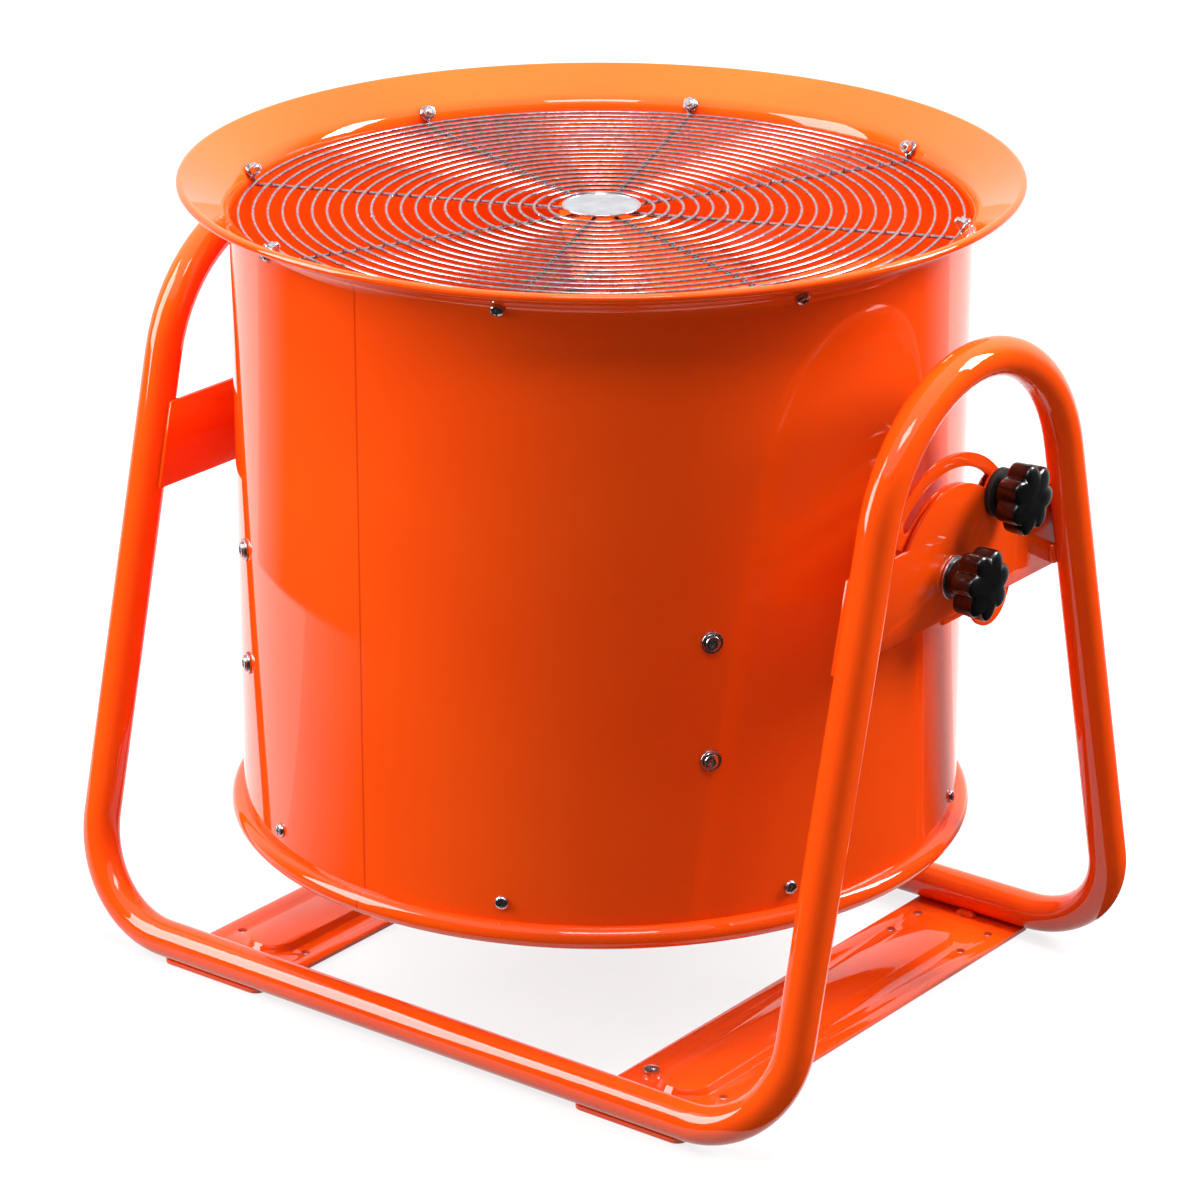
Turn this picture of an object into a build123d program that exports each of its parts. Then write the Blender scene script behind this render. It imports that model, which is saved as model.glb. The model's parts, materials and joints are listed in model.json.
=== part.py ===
from build123d import *

import os
from math import acos, cos, radians, sin, sqrt, tan

# Portable drum fan: a short duct with a bell mouth on top and a hose bead below, hung between the
# two arches of a tube stand. The drum tips about the X axis, so its outlet can face forwards.
#
# Frame: millimetres, +Z up, origin on the floor below the middle of the drum. The two arches
# stand at -X and +X, and the front rail is at -Y. Angles round the drum start at +X.
#
# Lengths ending in _D are diameters, in _R radii, in _T thicknesses, in _H heights.


# ---------------------------------------------------------------- driving dimensions

# Stand
TUBE_D = 26.9                 # outside diameter of the stand's tube
TUBE_WALL = 2.0
ARCH_X = 309.0                # middle plane of each arch, from the fan's centre
RAIL_Y = 210.8                # middle of the front and back rails, from the fan's centre
LEG_LEAN = 13.75              # degrees that each leg leans inwards from upright
ARCH_R = 115.0                # bend at the top of an arch, at the tube's middle
BEND_R = 76.0                 # bends between legs and rails, at the tube's middle
SLEEVE_L = 120.0              # sleeve inside each rail, where the two halves meet
SLEEVE_WALL = 2.0
SLEEVE_CLEARANCE = 0.15

# Cross plates under the rails
PLATE_T = 3.0
PLATE_X = 187.0               # middle of a plate, from the fan's centre
PLATE_W = 92.0
PLATE_OVERHANG = 6.0          # how far a plate runs on past the rail's middle
PLATE_CORNER_R = 8.0
RIB_W = 42.0                  # pressed rib along a plate, at its foot
RIB_L = 332.0
RIB_H = 5.0
RIB_DRAFT = 3.0               # how far the rib's walls lean in over its height
RIB_END_FLAT = 1.0            # flat between the round corners of a rib's end
PLATE_HOLE_D = 7.0
PLATE_HOLE_DX = 61.0          # hole pattern at each end of a plate
PLATE_HOLE_DY = 36.0
PLATE_HOLE_Y = 164.0          # middle of the pattern, from the fan's centre
PLATE_SCREW_HEAD_D = 11.0
PLATE_SCREW_LIFT = 0.2        # screw's tip, above the floor
WELD_R = 4.0                  # round weld beads
WELD_L = 16.0
RAIL_BEAD_AT = 0.8            # bead from the rail's middle, as a share of the tube's radius
STRAP_BEAD_AT = 0.6           # bead from the leg's middle, likewise

# Pivot
PIVOT_Z = 355.0               # height of the tilt axis
STRAP_T = 3.0
STRAP_BELOW = 27.5            # strap's lower edge, below the pivot
STRAP_ABOVE = 34.0
STRAP_END = 3.0               # how far a strap runs on past the leg's middle
BULGE_R = 64.0                # round bulge on top of the right strap
EAR_R = 14.0                  # ear round the lock bolt
STUD_D = 10.0                 # threads of the pivot studs and the lock bolt
HOLE_CLEARANCE = 0.3          # radial, round studs, bolts and screws that pass through
FACE_CLEARANCE = 0.1          # between flat faces that slide or turn on each other
PIVOT_GAP = 1.7               # between a strap and the drum's bracket, filled by a washer
PIVOT_WASHER_D = 44.0

# Tilt lock
LOCK_R = 69.0                 # lock bolt, from the pivot
LOCK_ANGLE = 42.0             # its place on the strap, degrees above +Y
TILT_RANGE = 90.0             # degrees that the drum tips back
SLOT_CLEARANCE = 0.4          # each side of the bolt's square neck
SLOT_END = 3.0                # degrees that the slot runs on past each end of the tilt
QUADRANT_R = 84.0             # outside of the slotted quadrant
QUADRANT_CORNER_R = 23.0      # round corner at its low end
QUADRANT_CORNER_ANGLE = -28.0                # the corner's direction from the pivot, degrees above +Y
QUADRANT_EDGE = 35.0          # its straight lower edge, below the pivot
QUADRANT_EDGE_Y = -3.0        # where that edge begins
QUADRANT_MARGIN = 14.0        # degrees of plate past the slot's high end
LOCK_HEAD_D = 24.0
LOCK_HEAD_H = 5.0
LOCK_HEAD_RIM = 1.0           # straight rim below the head's dome
LOCK_WASHER_D = 34.0          # thick rubber washer under the lock knob
LOCK_WASHER_T = 5.0

# Brackets on the drum
BRACKET_T = 3.0
BRACKET_R = 28.0              # round plate of a bracket, about the pivot
BRACKET_LEG_Y = 22.0          # middle of each bracket leg, from the pivot
BRACKET_FOOT_W = 16.0
WELD_NUT_AF = 17.0            # across flats
WELD_NUT_H = 8.0

# Star knobs
KNOB_D = 50.0
KNOB_LOBES = 7
KNOB_LOBE_R = 8.5
KNOB_HEAD_H = 19.0
KNOB_DOME = 4.0               # how much lower the rim is than the middle of the face
KNOB_HUB_D = 27.0
KNOB_STAND = 31.45            # outer face of every knob, from its strap's outer face
KNOB_WASHER_D = 30.0
KNOB_WASHER_T = 1.6
STUD_IN_KNOB = 18.0           # length of stud held in a knob
KNOB_BORE_SPARE = 1.0         # how much deeper the lock knob's bore is
PAST_NUT = 2.0                # how far studs and screws run on past their nuts

# Drum shell
DRUM_D = 510.0
SHEET_T = 1.5
DRUM_BELOW = 229.0            # hose bead's middle, below the pivot
DRUM_ABOVE = 230.0            # rim of the bell mouth, above the pivot
BEAD_R = 8.0                  # half-round hose bead
BEAD_OUT = 9.0                # how far the bead stands out of the drum
BELL_W = 34.0                 # bell mouth's width, from the bore to the lip's middle
BELL_SLOPE = 31.0             # rise of the bell mouth's cone above level
BELL_BEND_R = 15.0            # bend from the wall into the cone, at the bore
LIP_R = 3.0                   # rolled lip
LEAD_HOLE_D = 12.0

# Wire guards
RING_WIRE_D = 2.5
SPOKE_WIRE_D = 3.0
RING_COUNT = 22
RING_MAX_R = 248.8            # middle of the largest ring
RING_MIN_R = 36.2             # and of the smallest
SPOKE_COUNT = 8
SPOKE_START = 22.5            # angle of the first spoke
WELD_GAP = 0.02               # between the spokes and the rings and disc that they are welded to
HUB_DISC_D = 44.0
HUB_DISC_T = 2.0
BADGE_D = 54.6
BADGE_T = 1.8
INLET_TILT = 28.0             # how far round the bend the inlet guard's screws stand
OUTLET_SCREW_Z = -208.0       # guard screws of the outlet, from the pivot
EYE_TO_RINGS = 3.0            # guard's rings, from the foot of its eyes towards the drum's middle
EYE_R = 4.3                   # eye loop round a screw, at the wire's middle
SPOKE_ROOT_R = 11.0           # where the spokes begin, under the middle disc
SPOKE_BEND_R = 2.5            # spoke's bend up to its eye, at the wire's middle
GUARD_SCREW_D = 5.0
GUARD_HEAD_D = 10.0
GUARD_HEAD_H = 3.0
DRIVE_W = 1.4                 # slots and crosses in screw heads
DRIVE_L = 6.0
DRIVE_DEPTH = 1.4
GUARD_NUT_AF = 8.0
GUARD_NUT_H = 4.0

# Motor and its arms
ARM_START = -36.0             # angle of the first motor arm
ARM_COUNT = 4
ARM_BOLT_Z = (-105.3, -21.2)  # bolts of an arm, from the pivot's height
ARM_W = 34.0
ARM_H = 118.0
ARM_T = 3.0
ARM_BOLT_D = 6.0
CUP_WASHER_D = 15.6
CUP_WASHER_H = 2.2
CUP_FLOOR_T = 0.8
CUP_HEAD_D = 10.5
CUP_HEAD_H = 3.4
SOCKET_AF = 5.0               # hexagon socket in a bolt's head, and what is left below it
SOCKET_FLOOR = 1.2
ARM_NUT_AF = 10.0
ARM_NUT_H = 5.0
FOOT_BOLT_L = 12.0            # thread of a foot bolt in the motor's pad
FOOT_BOLT_HEAD_H = 4.0
MOTOR_D = 150.0
MOTOR_WALL = 12.0
MOTOR_H = 190.0
PAD_R = 86.0                  # flat face of the motor's pads, from its axis
PAD_W = 32.0
PAD_H = 100.0
FIN_T = 3.0
FIN_H = 7.0
FINS_PER_SIDE = 5
FIN_STEP = 9.0                # degrees between fins
FIN_INSET = 8.0               # from each end of the barrel
BELL_END_H = 26.0             # height of a motor end bell
BELL_END_T = 8.0
BELL_RIM_W = 8.0              # flat rim round the end bell's cone
BELL_CONE_DROP = 4.0          # cone's top, below the end of the bearing boss
BELL_HOLLOW_H = 6.0           # height of the hollow inside the bell
BELL_SCREW_D = 5.0
BELL_SCREW_COUNT = 4
BELL_SCREW_HEAD_D = 8.8
BELL_SCREW_HEAD_H = 4.0
BEARING_D = 47.0
BEARING_W = 14.0
BEARING_BOSS_T = 8.0
BEARING_SETBACK = 0.2         # bearing's inner end, inside the bell's seat
SHAFT_D = 20.0
SHAFT_CLEARANCE = 1.0         # radial, where the shaft passes an end bell
SHAFT_INSET = 4.0             # shaft's lower end, inside the lower end bell
SHOULDER_DROP = 1.0           # shaft's shoulder, below the hub's top
RUNNING_CLEARANCE = 0.05      # radial, between a bearing and its shaft
STATOR_L = 110.0
AIR_GAP = 0.6
ROTOR_D = 72.0
COIL_H = 22.0                 # winding heads, above and below the stator
COIL_T = 16.0
COIL_INSET = 3.0              # between a winding head and the barrel

# Impeller
BLADE_COUNT = 5
BLADE_START = 112.5           # angle of the first blade
BLADE_TIP_R = 244.0
BLADE_ROOT_R = 62.0
BLADE_ROOT_W = 78.0
BLADE_TIP_W = 225.0
BLADE_T = 2.0
BLADE_PITCH = 23.0            # degrees from the plane of rotation
BLADE_CAMBER_R = 380.0        # bend of a blade across its width
BLADE_CORNER_R = 24.0
BLADE_BLANK_PAST = 20.0       # a blade's tip width is measured this far past its tip
BLADE_BLANK_H = 80.0          # depth of the blank that a cambered blade is cut from
ARM_PLATE_T = 5.0
ARM_PLATE_W = 34.0
ARM_PLATE_R = 128.0           # end of a spider arm
RIVET_D = 6.0
RIVET_HEAD_D = 12.0
RIVET_HEAD_H = 2.5
RIVET_RADII = (78.0, 97.0, 116.0)
IMPELLER_Z = 112.0            # middle of the blades, above the pivot
HUB_D = 56.0
HUB_H = 52.0
HUB_NUT_AF = 24.0
HUB_NUT_H = 13.0
HUB_WASHER_D = 34.0
HUB_WASHER_T = 3.0
SHAFT_THREAD_D = 16.0
SHAFT_PAST_NUT = 3.0

# Electrics on the back of the drum
BOX_ANGLE = 110.0             # place of the switch box round the drum
BOX_Z = -63.0                 # its middle, from the pivot's height
BOX_W = 68.0
BOX_H = 92.0
BOX_WALL = 2.5
BOX_DEPTH = 32.0              # outer face of the box's lid, from the drum's wall
ROCKER_W = 15.0
ROCKER_H = 22.0
ROCKER_RISE = 1.6             # how far the raised half of the rocker stands out of the bezel
ROCKER_POCKET_GAP = 0.4       # between the rocker and its pocket's walls
ROCKER_SHORTER = 1.5          # room above and below the rocker for its swing
ROCKER_DEPTH = 5.0            # rocker's axis, behind the lid's face
ROCKER_PIN_D = 3.0
ROCKER_PIN_L = 1.0            # how far each pin reaches into the switch body
ROCKER_BEHIND = 2.0           # how far the rocker goes on behind its axis
ROCKER_DIP = 0.6              # middle of the rocker's face, behind the lid's face
ROCKER_SUNK = 1.2             # sunk end of the rocker's face, likewise
ROCKER_POCKET_DEPTH = 12.0
SWITCH_DEPTH = 20.0           # switch body, behind the lid's face
SWITCH_BEZEL_T = 1.2
SWITCH_BEZEL_W = 2.0          # bezel's width on the lid
GLAND_D = 20.0
GLAND_H = 16.0
GLAND_HOLE_D = 8.0
GLAND_THREAD_D = 14.0
GLAND_THREAD_L = 9.0
GLAND_DOME_D = 16.0
GLAND_NUT_AF = 18.0
GLAND_NUT_H = 3.0
LEAD_D = 7.0
LEAD_END = 22.0               # lead's outer end, behind the lid's face
GROMMET_LIP_W = 3.0
GROMMET_LIP_T = 2.8
GROMMET_LIP_GAP = 0.2         # between the lip and the curved wall
TERMINAL_W = 50.0
TERMINAL_H = 66.0
TERMINAL_R = 110.0            # outer face of the motor's terminal box, from its axis
TERMINAL_SEAT = 2.0           # height of the box's seat on the motor's barrel
COVER_SCREW_D = 4.0
COVER_SCREW_HEAD_D = 7.0
COVER_SCREW_HEAD_H = 2.4
COVER_SCREW_L = 16.0


# ---------------------------------------------------------------- places worked out from them

TUBE_R = TUBE_D / 2
DRUM_R = DRUM_D / 2
DRUM_BORE_R = DRUM_R - SHEET_T
RAIL_Z = PLATE_T + TUBE_R
LEAN = tan(radians(LEG_LEAN))
PLATE_L = 2 * (RAIL_Y + PLATE_OVERHANG)

STRAP_OUT = ARCH_X - TUBE_R              # outer face of a strap, on the tube
STRAP_IN = STRAP_OUT - STRAP_T
KNOB_REACH = STRAP_OUT + KNOB_STAND      # outer face of every knob, from the fan's centre
BRACKET_OUT = STRAP_IN - PIVOT_GAP       # outer face of a bracket's plate
BRACKET_IN = BRACKET_OUT - BRACKET_T
LOCK_Y = LOCK_R * cos(radians(LOCK_ANGLE))
LOCK_Z = LOCK_R * sin(radians(LOCK_ANGLE))
NECK_W = STUD_D                          # square neck of the lock bolt
SLOT_W = NECK_W + 2 * SLOT_CLEARANCE

BEAD_Z = PIVOT_Z - DRUM_BELOW
RIM_Z = PIVOT_Z + DRUM_ABOVE
BEAD_CENTRE_R = DRUM_R + BEAD_OUT - BEAD_R

LIP_CENTRE = (DRUM_BORE_R + BELL_W, RIM_Z - LIP_R)
CONE_END_X = LIP_CENTRE[0] - LIP_R * sin(radians(BELL_SLOPE))
CONE_END_Z = LIP_CENTRE[1] + LIP_R * cos(radians(BELL_SLOPE))
CONE_START_X = DRUM_BORE_R + BELL_BEND_R * (1 - sin(radians(BELL_SLOPE)))
CONE_START_Z = CONE_END_Z - (CONE_END_X - CONE_START_X) * tan(radians(BELL_SLOPE))
BELL_Z = CONE_START_Z - BELL_BEND_R * cos(radians(BELL_SLOPE))

BEND_OUT_R = BELL_BEND_R - SHEET_T
INLET_SEAT_X = DRUM_R + BEND_OUT_R * (1 - cos(radians(INLET_TILT)))
INLET_SEAT_Z = BELL_Z + BEND_OUT_R * sin(radians(INLET_TILT))
HEAD_STAND = BEND_OUT_R - sqrt(BEND_OUT_R**2 - (GUARD_HEAD_D / 2)**2)    # flat head in the hollow bend
EYE_IN = SHEET_T + HOLE_CLEARANCE + SPOKE_WIRE_D / 2     # eye's wire, from the outer face
INLET_NECK_X = INLET_SEAT_X - EYE_IN * cos(radians(INLET_TILT)) - EYE_R * sin(radians(INLET_TILT))
INLET_EYE_FOOT = INLET_SEAT_Z + EYE_IN * sin(radians(INLET_TILT)) - EYE_R * cos(radians(INLET_TILT))
OUTLET_NECK_X = DRUM_R - EYE_IN
OUTLET_EYE_FOOT = PIVOT_Z + OUTLET_SCREW_Z + EYE_R
RING_PITCH = (RING_MAX_R - RING_MIN_R) / (RING_COUNT - 1)

MOTOR_Z = PIVOT_Z + sum(ARM_BOLT_Z) / len(ARM_BOLT_Z)
MOTOR_TOP = MOTOR_Z + MOTOR_H / 2
MOTOR_BOTTOM = MOTOR_Z - MOTOR_H / 2
MOTOR_R = MOTOR_D / 2
MOTOR_BORE_R = MOTOR_R - MOTOR_WALL
SHAFT_R = SHAFT_D / 2
FOOT_IN = PAD_R                          # inner face of an arm's inner foot
ARM_SAG = DRUM_BORE_R - sqrt(DRUM_BORE_R**2 - (ARM_W / 2)**2)
ARM_OUT = DRUM_BORE_R - ARM_SAG          # outer face of an arm's outer foot

IMPELLER_MID = PIVOT_Z + IMPELLER_Z
HUB_TOP = IMPELLER_MID + HUB_H / 2
SHAFT_TOP = HUB_TOP + HUB_WASHER_T + HUB_NUT_H + SHAFT_PAST_NUT
SHAFT_BOTTOM = MOTOR_BOTTOM - BELL_END_H + SHAFT_INSET
BOX_MID = PIVOT_Z + BOX_Z
BOX_FACE_R = DRUM_R + BOX_DEPTH          # outer face of the box's lid, from the drum's axis
TERMINAL_IN = MOTOR_R + TERMINAL_SEAT    # inner face of the terminal box

CUT = 1.0                                # how far a cutter runs on past the face it cuts
LAP = 1.0                                # how far joined shapes run into each other


# ---------------------------------------------------------------- helpers

def block(x0, x1, y0, y1, z0, z1):
    """A box between two corners."""
    centre = Pos((x0 + x1) / 2, (y0 + y1) / 2, (z0 + z1) / 2)
    return centre * Box(x1 - x0, y1 - y0, z1 - z0)


def rod_z(z0, z1, radius, x=0.0, y=0.0):
    """A cylinder along Z."""
    return Pos(x, y, (z0 + z1) / 2) * Cylinder(radius, z1 - z0)


def rod_x(x0, x1, radius, y=0.0, z=0.0):
    """A cylinder along X."""
    return Pos((x0 + x1) / 2, y, z) * Rot(0, 90, 0) * Cylinder(radius, x1 - x0)


def hex_x(x0, x1, across_flats, y=0.0, z=0.0):
    """A hexagonal prism along X."""
    outline = RegularPolygon(across_flats / 2, 6, major_radius=False)
    return Pos(x0, y, z) * Rot(0, 90, 0) * extrude(outline, x1 - x0)


def hex_z(z0, z1, across_flats):
    """A hexagonal prism along Z."""
    outline = RegularPolygon(across_flats / 2, 6, major_radius=False)
    return Pos(0, 0, z0) * extrude(outline, z1 - z0)


def ring_z(z0, z1, outer_r, inner_r):
    """A round washer or tube along Z."""
    return rod_z(z0, z1, outer_r) - rod_z(z0 - CUT, z1 + CUT, inner_r)


def ring_x(x0, x1, outer_r, inner_r, y=0.0, z=0.0):
    """A round washer along X."""
    return rod_x(x0, x1, outer_r, y, z) - rod_x(x0 - CUT, x1 + CUT, inner_r, y, z)


def round_the_drum(angle, shape):
    """Turn a shape made on the +X side to its place round the drum."""
    return Rot(0, 0, angle) * shape


def ring_of(count, start, shape):
    """Copies of a shape made on the +X side, evenly spaced round the drum."""
    return [round_the_drum(start + 360.0 * i / count, shape) for i in range(count)]


def facing_left(shape):
    """The same piece, turned half round to the fan's left side."""
    return Rot(0, 0, 180) * shape


def arm_angles():
    return [ARM_START + 360.0 * i / ARM_COUNT for i in range(ARM_COUNT)]


def leg_y(z):
    """How far a leg's middle is from the fan's middle plane at one height."""
    return RAIL_Y - (z - RAIL_Z) * LEAN


# ---------------------------------------------------------------- stand

def frame_tube():
    """Right half of the stand: half the front rail, an arch and half the back rail, in one tube."""
    apex_z = RAIL_Z + RAIL_Y / LEAN
    corners = [
        (0, -RAIL_Y, RAIL_Z),
        (ARCH_X, -RAIL_Y, RAIL_Z),
        (ARCH_X, 0, apex_z),
        (ARCH_X, RAIL_Y, RAIL_Z),
        (0, RAIL_Y, RAIL_Z),
    ]
    path = FilletPolyline(*corners, radius=[BEND_R, ARCH_R, BEND_R])
    section = Circle(TUBE_R) - Circle(TUBE_R - TUBE_WALL)
    return sweep(Plane(origin=path @ 0, z_dir=path % 0) * section, path)


def rail_sleeve(y):
    """Sleeve that joins the two halves inside a rail."""
    outer_r = TUBE_R - TUBE_WALL - SLEEVE_CLEARANCE
    return Pos(0, y, RAIL_Z) * ring_x(-SLEEVE_L / 2, SLEEVE_L / 2, outer_r, outer_r - SLEEVE_WALL)


def cross_plate():
    """Right cross plate: a strip under both rails, with a pressed rib and two hole patterns."""
    strip = extrude(RectangleRounded(PLATE_W, PLATE_L, PLATE_CORNER_R), PLATE_T)
    rib = pressed_rib(RIB_W, RIB_L, PLATE_T)
    hollow = pressed_rib(RIB_W - 2 * PLATE_T, RIB_L - 2 * PLATE_T, 0.0)
    plate = strip + rib - hollow
    for x, y in plate_holes():
        plate -= rod_z(-CUT, PLATE_T + CUT, PLATE_HOLE_D / 2, x - PLATE_X, y)
    return Pos(PLATE_X, 0, 0) * plate


def pressed_rib(width, length, z):
    """Tapered block of the rib's shape, standing at one height."""
    foot = Pos(0, 0, z) * RectangleRounded(width, length, (width - RIB_END_FLAT) / 2)
    top_w = width - 2 * RIB_DRAFT
    top_l = length - 2 * RIB_DRAFT
    top = Pos(0, 0, z + RIB_H) * RectangleRounded(top_w, top_l, (top_w - RIB_END_FLAT) / 2)
    return loft([foot, top], ruled=True)


def plate_holes():
    """Places of the right plate's holes."""
    places = []
    for end in (-1, 1):
        for dx in (-PLATE_HOLE_DX / 2, PLATE_HOLE_DX / 2):
            for dy in (-PLATE_HOLE_DY / 2, PLATE_HOLE_DY / 2):
                places.append((PLATE_X + dx, end * PLATE_HOLE_Y + dy))
    return places


def plate_screw():
    """Pan-head screw in the right plate's inner front hole, flush below."""
    x = PLATE_X - PLATE_HOLE_DX / 2
    y = -PLATE_HOLE_Y + PLATE_HOLE_DY / 2
    top = PLATE_T + GUARD_HEAD_H
    shank = rod_z(PLATE_SCREW_LIFT, PLATE_T, PLATE_HOLE_D / 2 - HOLE_CLEARANCE, x, y)
    head = rod_z(PLATE_T, top, PLATE_SCREW_HEAD_D / 2, x, y)
    slot = block(-DRIVE_L / 2, DRIVE_L / 2, -DRIVE_W / 2, DRIVE_W / 2, top - DRIVE_DEPTH, top + CUT)
    return shank + head - Pos(x, y, 0) * slot


def weld_bead(length):
    """A bead of weld along X, with round ends."""
    straight = length - 2 * WELD_R
    bead = rod_x(-straight / 2, straight / 2, WELD_R)
    for x in (-straight / 2, straight / 2):
        bead += Pos(x, 0, 0) * Sphere(WELD_R)
    return bead


def rail_weld_beads():
    """Beads where the rails stand on the cross plates, on the side that faces the drum."""
    beads = []
    for side in (-1, 1):
        for end in (-1, 1):
            bead = Pos(side * PLATE_X, end * (RAIL_Y - RAIL_BEAD_AT * TUBE_R), PLATE_T) * weld_bead(WELD_L)
            bead -= Pos(side * PLATE_X, end * RAIL_Y, RAIL_Z) * rod_x(-WELD_L, WELD_L, TUBE_R)
            bead -= Pos(side * PLATE_X, 0, 0) * block(-WELD_L, WELD_L, -PLATE_L, PLATE_L, -WELD_R, PLATE_T)
            beads.append(bead)
    return beads


def strap(locking):
    """Right strap across an arch, that carries the pivot; a locking one has a bulge and an ear."""
    low = PIVOT_Z - STRAP_BELOW
    high = PIVOT_Z + STRAP_ABOVE
    half_low = leg_y(low) + STRAP_END
    half_high = leg_y(high) + STRAP_END
    outline = Polygon((-half_low, low), (half_low, low), (half_high, high), (-half_high, high), align=None)
    if locking:
        bulge = Circle(BULGE_R) & Pos(0, BULGE_R) * Rectangle(2 * BULGE_R, 2 * BULGE_R)
        ear = Pos(LOCK_Y, LOCK_Z) * Circle(EAR_R)
        outline += Pos(0, PIVOT_Z) * (bulge + ear)
    plate = Pos(STRAP_IN, 0, 0) * extrude(Plane.YZ * outline, STRAP_T)
    hole_r = STUD_D / 2 + HOLE_CLEARANCE
    plate -= rod_x(STRAP_IN - CUT, STRAP_OUT + CUT, hole_r, 0, PIVOT_Z)
    if locking:
        plate -= rod_x(STRAP_IN - CUT, STRAP_OUT + CUT, hole_r, LOCK_Y, PIVOT_Z + LOCK_Z)
    return plate


def strap_weld_beads():
    """Beads at the upper and lower corner of each strap end, against the leg's tube."""
    beads = []
    for height in (-STRAP_BELOW + WELD_L / 2, STRAP_ABOVE - WELD_L / 2):
        z = PIVOT_Z + height
        for end in (-1, 1):
            lean = Rot(end * LEG_LEAN, 0, 0)
            upright = Rot(0, 90, 0) * weld_bead(WELD_L)
            bead = Pos(STRAP_OUT, end * (leg_y(z) - STRAP_BEAD_AT * TUBE_R), z) * lean * upright
            leg = Pos(ARCH_X, end * leg_y(z), z) * lean * rod_z(-WELD_L, WELD_L, TUBE_R)
            bead -= leg
            bead -= block(STRAP_OUT - WELD_R, STRAP_OUT, -PLATE_L, PLATE_L, 0, RIM_Z)
            beads.append(bead)
    return beads + [facing_left(bead) for bead in beads]


# ---------------------------------------------------------------- pivots and tilt lock

def pivot_bracket(locking):
    """Right bracket, welded to the drum: a plate on two legs with feet; a locking one is slotted."""
    plate = Circle(BRACKET_R)
    if locking:
        first = LOCK_ANGLE - SLOT_END
        last = LOCK_ANGLE + TILT_RANGE + SLOT_END
        corner_r = QUADRANT_R - QUADRANT_CORNER_R
        corner_y = corner_r * cos(radians(QUADRANT_CORNER_ANGLE))
        corner_z = corner_r * sin(radians(QUADRANT_CORNER_ANGLE))
        edge_l = corner_y - QUADRANT_EDGE_Y
        plate += quadrant(QUADRANT_CORNER_ANGLE, last + QUADRANT_MARGIN)
        plate += Pos(corner_y, corner_z) * Circle(QUADRANT_CORNER_R)
        plate += Pos(QUADRANT_EDGE_Y + edge_l / 2, -QUADRANT_EDGE / 2) * Rectangle(edge_l, QUADRANT_EDGE)
        slot_line = CenterArc((0, 0), LOCK_R, first, last - first)
        plate -= SlotArc(slot_line, SLOT_W)
    web = Pos(BRACKET_IN, 0, PIVOT_Z) * extrude(Plane.YZ * plate, BRACKET_T)
    web -= rod_x(BRACKET_IN - CUT, BRACKET_OUT + CUT, STUD_D / 2 + HOLE_CLEARANCE, 0, PIVOT_Z)
    half_height = sqrt(BRACKET_R**2 - (BRACKET_LEG_Y + BRACKET_T / 2)**2)
    low = PIVOT_Z - half_height
    high = PIVOT_Z + half_height
    bracket = web
    for side in (-1, 1):
        y0 = side * BRACKET_LEG_Y - BRACKET_T / 2
        leg = block(0, BRACKET_IN, y0, y0 + BRACKET_T, low, high)
        foot_y = sorted((side * (BRACKET_LEG_Y - BRACKET_T / 2), side * (BRACKET_LEG_Y + BRACKET_FOOT_W)))
        foot = ring_z(low, high, DRUM_R + BRACKET_T, DRUM_R)
        foot &= block(0, DRUM_R + BRACKET_T + CUT, *foot_y, low, high)
        bracket += leg - rod_z(low - CUT, high + CUT, DRUM_R)
        bracket += foot
    return bracket


def quadrant(first, last):
    """Sector of plate about the pivot, from one angle to another."""
    arc = CenterArc((0, 0), QUADRANT_R, first, last - first)
    edges = [arc, Line((0, 0), arc @ 0), Line(arc @ 1, (0, 0))]
    return make_face(edges)


def weld_nut():
    """Hexagonal nut welded behind the right bracket's plate."""
    inner_x = BRACKET_IN - WELD_NUT_H
    nut = hex_x(inner_x, BRACKET_IN, WELD_NUT_AF, 0, PIVOT_Z)
    return nut - rod_x(inner_x - CUT, BRACKET_IN + CUT, STUD_D / 2 + RUNNING_CLEARANCE, 0, PIVOT_Z)


def friction_washer():
    """Washer between the right bracket and its strap, carried by the bracket."""
    outer_x = STRAP_IN - FACE_CLEARANCE
    return ring_x(BRACKET_OUT, outer_x, PIVOT_WASHER_D / 2, STUD_D / 2 + HOLE_CLEARANCE, 0, PIVOT_Z)


def knob_washer():
    """Thin washer between the right strap and its pivot knob."""
    face = STRAP_OUT + FACE_CLEARANCE
    inner_r = STUD_D / 2 + HOLE_CLEARANCE
    return ring_x(face, face + KNOB_WASHER_T, KNOB_WASHER_D / 2, inner_r, 0, PIVOT_Z)


def pivot_stud():
    """Threaded stud of the right pivot knob, screwed through the strap into the weld nut."""
    inner_end = BRACKET_IN - WELD_NUT_H - PAST_NUT
    hub = STRAP_OUT + KNOB_WASHER_T + 2 * FACE_CLEARANCE
    return rod_x(inner_end, hub + STUD_IN_KNOB, STUD_D / 2, 0, PIVOT_Z)


def star_knob(base_x):
    """Star knob on the tilt axis at +X, from its hub's face out to the reach that all knobs share."""
    head_x = KNOB_REACH - KNOB_HEAD_H
    lobe_centre = KNOB_D / 2 - KNOB_LOBE_R
    star = Circle(lobe_centre)
    for i in range(KNOB_LOBES):
        angle = radians(360.0 * i / KNOB_LOBES)
        star += Pos(lobe_centre * cos(angle), lobe_centre * sin(angle)) * Circle(KNOB_LOBE_R)
    head = Pos(head_x, 0, 0) * extrude(Plane.YZ * star, KNOB_HEAD_H)
    dome_r = ((KNOB_D / 2)**2 + KNOB_DOME**2) / (2 * KNOB_DOME)
    head &= Pos(KNOB_REACH - dome_r, 0, 0) * Sphere(dome_r)
    hub = rod_x(base_x, head_x + LAP, KNOB_HUB_D / 2)
    return head + hub


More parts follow.
